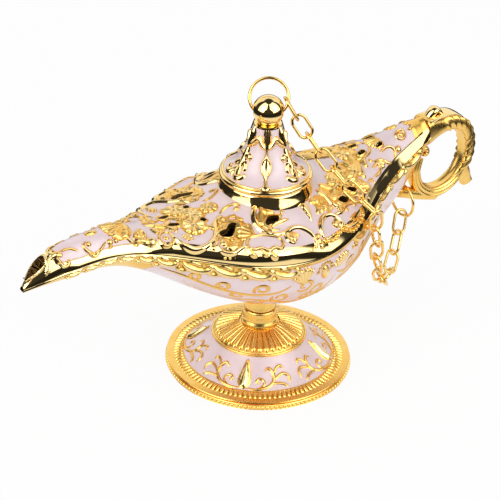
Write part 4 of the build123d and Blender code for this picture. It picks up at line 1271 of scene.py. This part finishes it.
# Handle: rows of (x, z, width, thickness), the bar's from the seam
BAR = np.array([
    (0.0, 0.6, 10.6, 12.0), (6.5, 1.6, 9.0, 9.4), (13.5, 1.6, 8.2, 7.6), (20.5, -1.8, 7.4, 6.6),
    (24.4, -9.0, 7.0, 6.2), (24.4, -17.6, 6.8, 6.0), (20.6, -25.2, 6.6, 6.0), (13.4, -29.6, 6.4, 5.8),
    (5.6, -29.4, 6.0, 5.4), (-0.6, -24.8, 5.6, 4.8), (-2.8, -18.0, 5.2, 4.4), (-1.4, -11.6, 4.8, 4.0)])
SEAM_X, SEAM_Z = 79.1, 80.5
HANDLE_BACK = [
    (79.3, 85.8, 9.6, 1.2), (84.2, 86.3, 8.2, 1.4), (90, 86.0, 7.4, 1.5), (94.7, 84.7, 7.0, 1.4),
    (99.2, 81.3, 6.4, 1.1), (102.4, 76.6, 5.4, 0.8)]
THUMB_LEAF = [
    (81.6, 84.6, 4.6, 4.0), (82.6, 86.6, 4.2, 3.6), (83.6, 88.0, 4.6, 3.2), (85.0, 88.8, 4.8, 2.6),
    (86.6, 88.0, 4.4, 2.2), (88.0, 86.2, 4.8, 1.6)]
SPUR = [(101.2, 58.6, 6.2, 5.2), (103.0, 54.8, 5.6, 5.0), (104.3, 51.6, 4.6, 4.6), (105.2, 49.0, 4.2, 5.4)]
ARM = [
    (88.5, 48.4, 5.4, 4.8), (82, 50.4, 5.0, 4.7), (76, 52.7, 4.8, 4.7), (70, 55.2, 4.7, 4.6),
    (66.4, 56.6, 4.4, 4.4)]
FEATHER_PITCH, FEATHER_SLANT, FEATHER_HEIGHT = 3.6, 3.0, 0.7
# How far the outer side is trimmed, and the depth of the grooves on the flanks and inside
TRIM, GROOVE_DEPTH, INNER_DEPTH = 1.1, 0.4, 0.35
# The small bars are drawn in at their ends
END_SHARE = 0.82


def sweep_bar(rows, steps, around, power=3.2, start_heading=None):
    """Section points of a bar in the XZ plane, smooth between its rows."""
    line = curve_through(rows, steps)
    path = line[:, :2]
    along = np.gradient(path, axis=0)
    along /= np.linalg.norm(along, axis=1, keepdims=True)
    if start_heading is not None:
        along[0] = start_heading
    out = np.stack([-along[:, 1], along[:, 0]], -1)
    a = np.linspace(0, TAU, around, endpoint=False)
    c, s = np.cos(a), np.sin(a)
    sy = np.sign(c) * np.abs(c) ** (2 / power)
    sn = np.sign(s) * np.abs(s) ** (2 / power)
    y = line[:, 2:3] / 2 * sy[None]
    n = line[:, 3:4] / 2 * sn[None]
    points = np.stack([path[:, :1] + out[:, :1] * n, y, path[:, 1:] + out[:, 1:] * n], -1)
    return points, run_of(path), sy, sn


def bar_faces(rows, around, flip=False):
    """Faces of a bar with closed ends."""
    start, end = tuple(range(around)), tuple((rows - 1) * around + j for j in range(around))
    return weave(rows, around, closed=True, flip=flip) + [start[::-1], end]


def bar_piece(name, rows, material, power, steps=8):
    points = sweep_bar(np.array(rows, float), steps, 36, power)[0]
    for end in (0, -1):
        middle = points[end].mean(0)
        points[end] = middle + (points[end] - middle) * END_SHARE
    piece = cast(name, points.reshape(-1, 3), bar_faces(*points.shape[:2]), material, sharp=50)
    settle(piece, "lamp", "gilt", "handle")


def build_bar():
    """The handle's bar: feathers on the flanks of the upper part, grooves along the lower part and inside."""
    rows = BAR.copy()
    rows[:, 0] += SEAM_X
    rows[:, 1] += SEAM_Z
    points, run, sy, sn = sweep_bar(rows, 22, 96, start_heading=(1, 0))
    n, around = points.shape[:2]
    work = Relief(np.concatenate([points, points[:, :2]], axis=1))
    normals = work.normals.reshape(n, around + 2, 3)[:, :around]
    facing = np.sign((normals * (points - points.mean(1, keepdims=True))).sum(-1).mean())
    run, sy, sn = run[:, None], sy[None], sn[None]
    flank = np.clip((np.abs(sy) - 0.55) / 0.3, 0, 1)
    upper = np.clip((run - 9) / 3, 0, 1) * np.clip((46 - run) / 6, 0, 1)
    saw = ((run + FEATHER_SLANT * sn) / FEATHER_PITCH) % 1.0
    feather = np.clip(saw * 1.25, 0, 1) ** 1.5 * np.clip((1 - saw) * 7, 0, 1)
    high = FEATHER_HEIGHT * feather * flank * upper
    trim = np.clip((run - 3) / 6, 0, 1) * np.clip((62 - run) / 12, 0, 1)
    high = high - TRIM * np.clip(sn, 0, 1) * trim
    lower = np.clip((run - 44) / 5, 0, 1)
    groove = np.exp(-((sn - 0.25) / 0.13) ** 2) + np.exp(-((sn + 0.45) / 0.13) ** 2)
    high = high - GROOVE_DEPTH * groove * flank * lower
    inner = np.clip((-sn - 0.75) / 0.2, 0, 1) * np.clip((run - 8) / 4, 0, 1)
    high = high - INNER_DEPTH * inner * np.clip(1 - np.abs(sy) / 0.55, 0, 1)
    skin = points + normals * facing * high[..., None]
    piece = cast("handle_bar", skin.reshape(-1, 3), bar_faces(n, around, facing < 0), SATIN, sharp=55)
    settle(piece, "lamp", "gilt", "handle")


def build_handle():
    build_bar()
    bar_piece("handle_back", HANDLE_BACK, POLISHED, 2.4)
    bar_piece("thumb_leaf", THUMB_LEAF, POLISHED, 2.1)
    bar_piece("handle_spur", SPUR, SATIN, 3.0)
    bar_piece("handle_arm", ARM, SATIN, 2.3)
    eye = []
    for share in np.linspace(0, 1, 16):
        a = math.radians(200 - 400 * share)
        r = 2.1 * (1 - 0.8 * share)
        eye.append((79.9 + r * math.cos(a), 71.2 + r * math.sin(a), 4.6 + 1.6 * share, 3.0 - 1.0 * share))
    bar_piece("handle_volute", eye, SATIN, 2.2, steps=4)


def dress_small_parts():
    settle(smooth_copy("finial_ball", POLISHED), "lid", "gilt", "finial_ball")
    settle(smooth_copy("finial_ring", WIRE), "finial_ring", "gilt", "finial_ring")
    settle(smooth_copy("handle_ring", WIRE), "handle_ring", "gilt", "handle_ring")
    for n in range(1, 18):
        settle(smooth_copy(f"chain_link_{n:02d}", WIRE), f"link_{n:02d}", "gilt", f"chain_link_{n:02d}")
    for node in ("base_washer", "base_screw"):
        settle(smooth_copy(node, ZINC), "lamp", "steel", node)


def build_bead_rows():
    for n, row in enumerate(COVER_ROWS):
        for side, plan in zip(("front", "back"), both(row)):
            line = on_cover(curve_through(plan)) + np.array([0, 0.3 * np.sign(plan[0][1]), 0.45])
            beads = BEAD_ROW.make(f"cover_beads_{n}_{side}", line_mesh(line),
                                  Spacing=ROW_SPACING * MM, Bead=ROW_BEAD * MM, Material=SATIN)
            settle(beads, "lamp", "gilt", "top_cover")


build_cover()
build_cover_lining()
build_neck()
build_bowl()
build_stem()
build_foot()
build_lid()
build_handle()
build_bead_rows()
dress_small_parts()


# Studio
SKY_LEVEL = 0.72
PANEL_LEVEL, BACKDROP_LEVEL, DARK_LEVEL = 2.0, 1.0, 0.04
FRAME, SENSOR = 500, 36.0
LAMP_MIDDLE = Vector((0, 0, 0.06))
# Edge of the bright sheet that the gold reflects, as distances from the stem in metres
SHEET_EDGE = 0.17, 0.25
# Heights of the panels' lower and upper edges, as ramps of the direction's rise
PANEL_FOOT, PANEL_TOP = (0.05, 0.09), (0.93, 0.96)
# Sine and cosine of the camera's bearing
VIEW_SIN, VIEW_COS = 0.616, 0.788


def camera_at_photo():
    """The fitted camera: its angles and distance, and where the foot's middle falls in the frame."""
    a, e, roll = math.radians(-38), math.radians(31.473), math.radians(2.32)
    reach, focal = 1162.9, 2894.0
    back = Vector((math.sin(a) * math.cos(e), -math.cos(a) * math.cos(e), math.sin(e)))
    right = Vector((math.cos(a), math.sin(a), 0))
    up = right.cross(-back)
    right, up = math.cos(roll) * right + math.sin(roll) * up, math.cos(roll) * up - math.sin(roll) * right
    anchor, fall_x, fall_y = Vector((0, 0, 3.489)), 258.08, 351.3
    shift = right * ((fall_x - FRAME / 2) / focal * reach) + up * ((FRAME / 2 - fall_y) / focal * reach)
    place = anchor + back * reach - shift
    data = bpy.data.cameras.new("photo_camera")
    data.sensor_width = SENSOR
    data.lens = focal / FRAME * SENSOR
    data.clip_end = 20.0
    camera = bpy.data.objects.new("photo_camera", data)
    turned = Matrix((right, up, back)).transposed().to_4x4()
    camera.matrix_world = Matrix.Translation(place * MM) @ turned
    bpy.context.scene.collection.objects.link(camera)
    bpy.context.scene.camera = camera


def softbox(name, place, size, size_y, power):
    data = bpy.data.lights.new(name, "AREA")
    data.shape = "RECTANGLE"
    data.size, data.size_y = size, size_y
    data.energy = power
    lamp = bpy.data.objects.new(name, data)
    lamp.location = place
    lamp.rotation_euler = (LAMP_MIDDLE - Vector(place)).to_track_quat("-Z", "Y").to_euler()
    bpy.context.scene.collection.objects.link(lamp)


def lay_floor():
    mesh = bpy.data.meshes.new("floor")
    mesh.from_pydata([(-4, -4, 0), (4, -4, 0), (4, 4, 0), (-4, 4, 0)], [], [(0, 1, 2, 3)])
    floor = bpy.data.objects.new("floor", mesh)
    bpy.context.scene.collection.objects.link(floor)
    f = Finish("floor_paper", Roughness=0.9)
    f.feed("Base Color", f.mix(f.cloud(0.02), (0.93, 0.93, 0.93, 1), (0.95, 0.95, 0.95, 1)))
    camera = f.node("ShaderNodeLightPath", output="Is Camera Ray")
    gloss = f.node("ShaderNodeLightPath", output="Is Glossy Ray")
    spot = f.node("ShaderNodeTexCoord", output="Object")
    away = f.node("ShaderNodeVectorMath", {"operation": "LENGTH"}, {0: spot}, "Value")
    sheet = 1 - away.ramp(*SHEET_EDGE)
    strength = f.blend(gloss, 1.0, sheet * 0.95 + 0.02)
    glow = f.node("ShaderNodeEmission", None, {"Color": (1, 1, 1, 1), "Strength": strength})
    share = f.blend(gloss, camera * 0.92, 1.0)
    blended = f.node("ShaderNodeMixShader", None, {0: share, 1: Value(f, f.surface.outputs[0]), 2: glow})
    out = f.tree.nodes["Material Output"]
    f.tree.links.new(blended.socket, out.inputs["Surface"])
    mesh.materials.append(f.material)


class Sky(Finish):
    def __init__(self):
        world = bpy.data.worlds.new("studio")
        world.use_nodes = True
        bpy.context.scene.world = world
        self.tree = world.node_tree
        self.surface = self.tree.nodes["Background"]


def hang_studio():
    """What the gold reflects: two tall white panels beside the camera, a white backdrop, dark between."""
    sky = Sky()
    way = sky.node("ShaderNodeTexCoord", output="Generated")
    x = sky.node("ShaderNodeSeparateXYZ", None, {0: way})
    y, z = (Value(sky, x.socket.node.outputs[k]) for k in (1, 2))
    towards = x * -VIEW_SIN + y * -VIEW_COS
    level_run = z.math("SQRT", z.math("MAXIMUM", 1 - z * z, 0.0001))
    facing = towards.math("DIVIDE", towards, level_run)
    # The dark gap behind the camera narrows upwards, and the right panel reaches further round
    gap = facing - z.ramp(0.15, 0.6) * 0.16 - 0.815
    aside = x * VIEW_COS + y * -VIEW_SIN
    reach = facing + aside.ramp(0, 0.3) * 0.24
    tall = z.ramp(*PANEL_FOOT) * (1 - z.ramp(*PANEL_TOP))
    panels = reach.ramp(0.1, 0.2) * (1 - gap.ramp(-0.01, 0.01)) * tall
    backdrop = (1 - facing.ramp(-0.48, -0.38)) * (1 - z.ramp(0.8, 0.9))
    seen = panels * PANEL_LEVEL + backdrop * BACKDROP_LEVEL + DARK_LEVEL
    gloss = sky.node("ShaderNodeLightPath", output="Is Glossy Ray")
    camera = sky.node("ShaderNodeLightPath", output="Is Camera Ray")
    through = sky.node("ShaderNodeLightPath", output="Is Transmission Ray")
    level = sky.blend(gloss, SKY_LEVEL, seen)
    level = sky.blend(camera.math("MAXIMUM", camera, through), level, 1.0)
    sky.join((1, 1, 1, 1), sky.surface.inputs["Color"])
    sky.join(level, sky.surface.inputs["Strength"])


camera_at_photo()
lay_floor()
hang_studio()
softbox("left_box", (-0.92, -0.12, 0.62), 0.5, 0.7, 3.2)
softbox("right_box", (0.3, -0.88, 0.6), 0.45, 0.7, 2.2)
bpy.context.scene.view_settings.view_transform = "Standard"
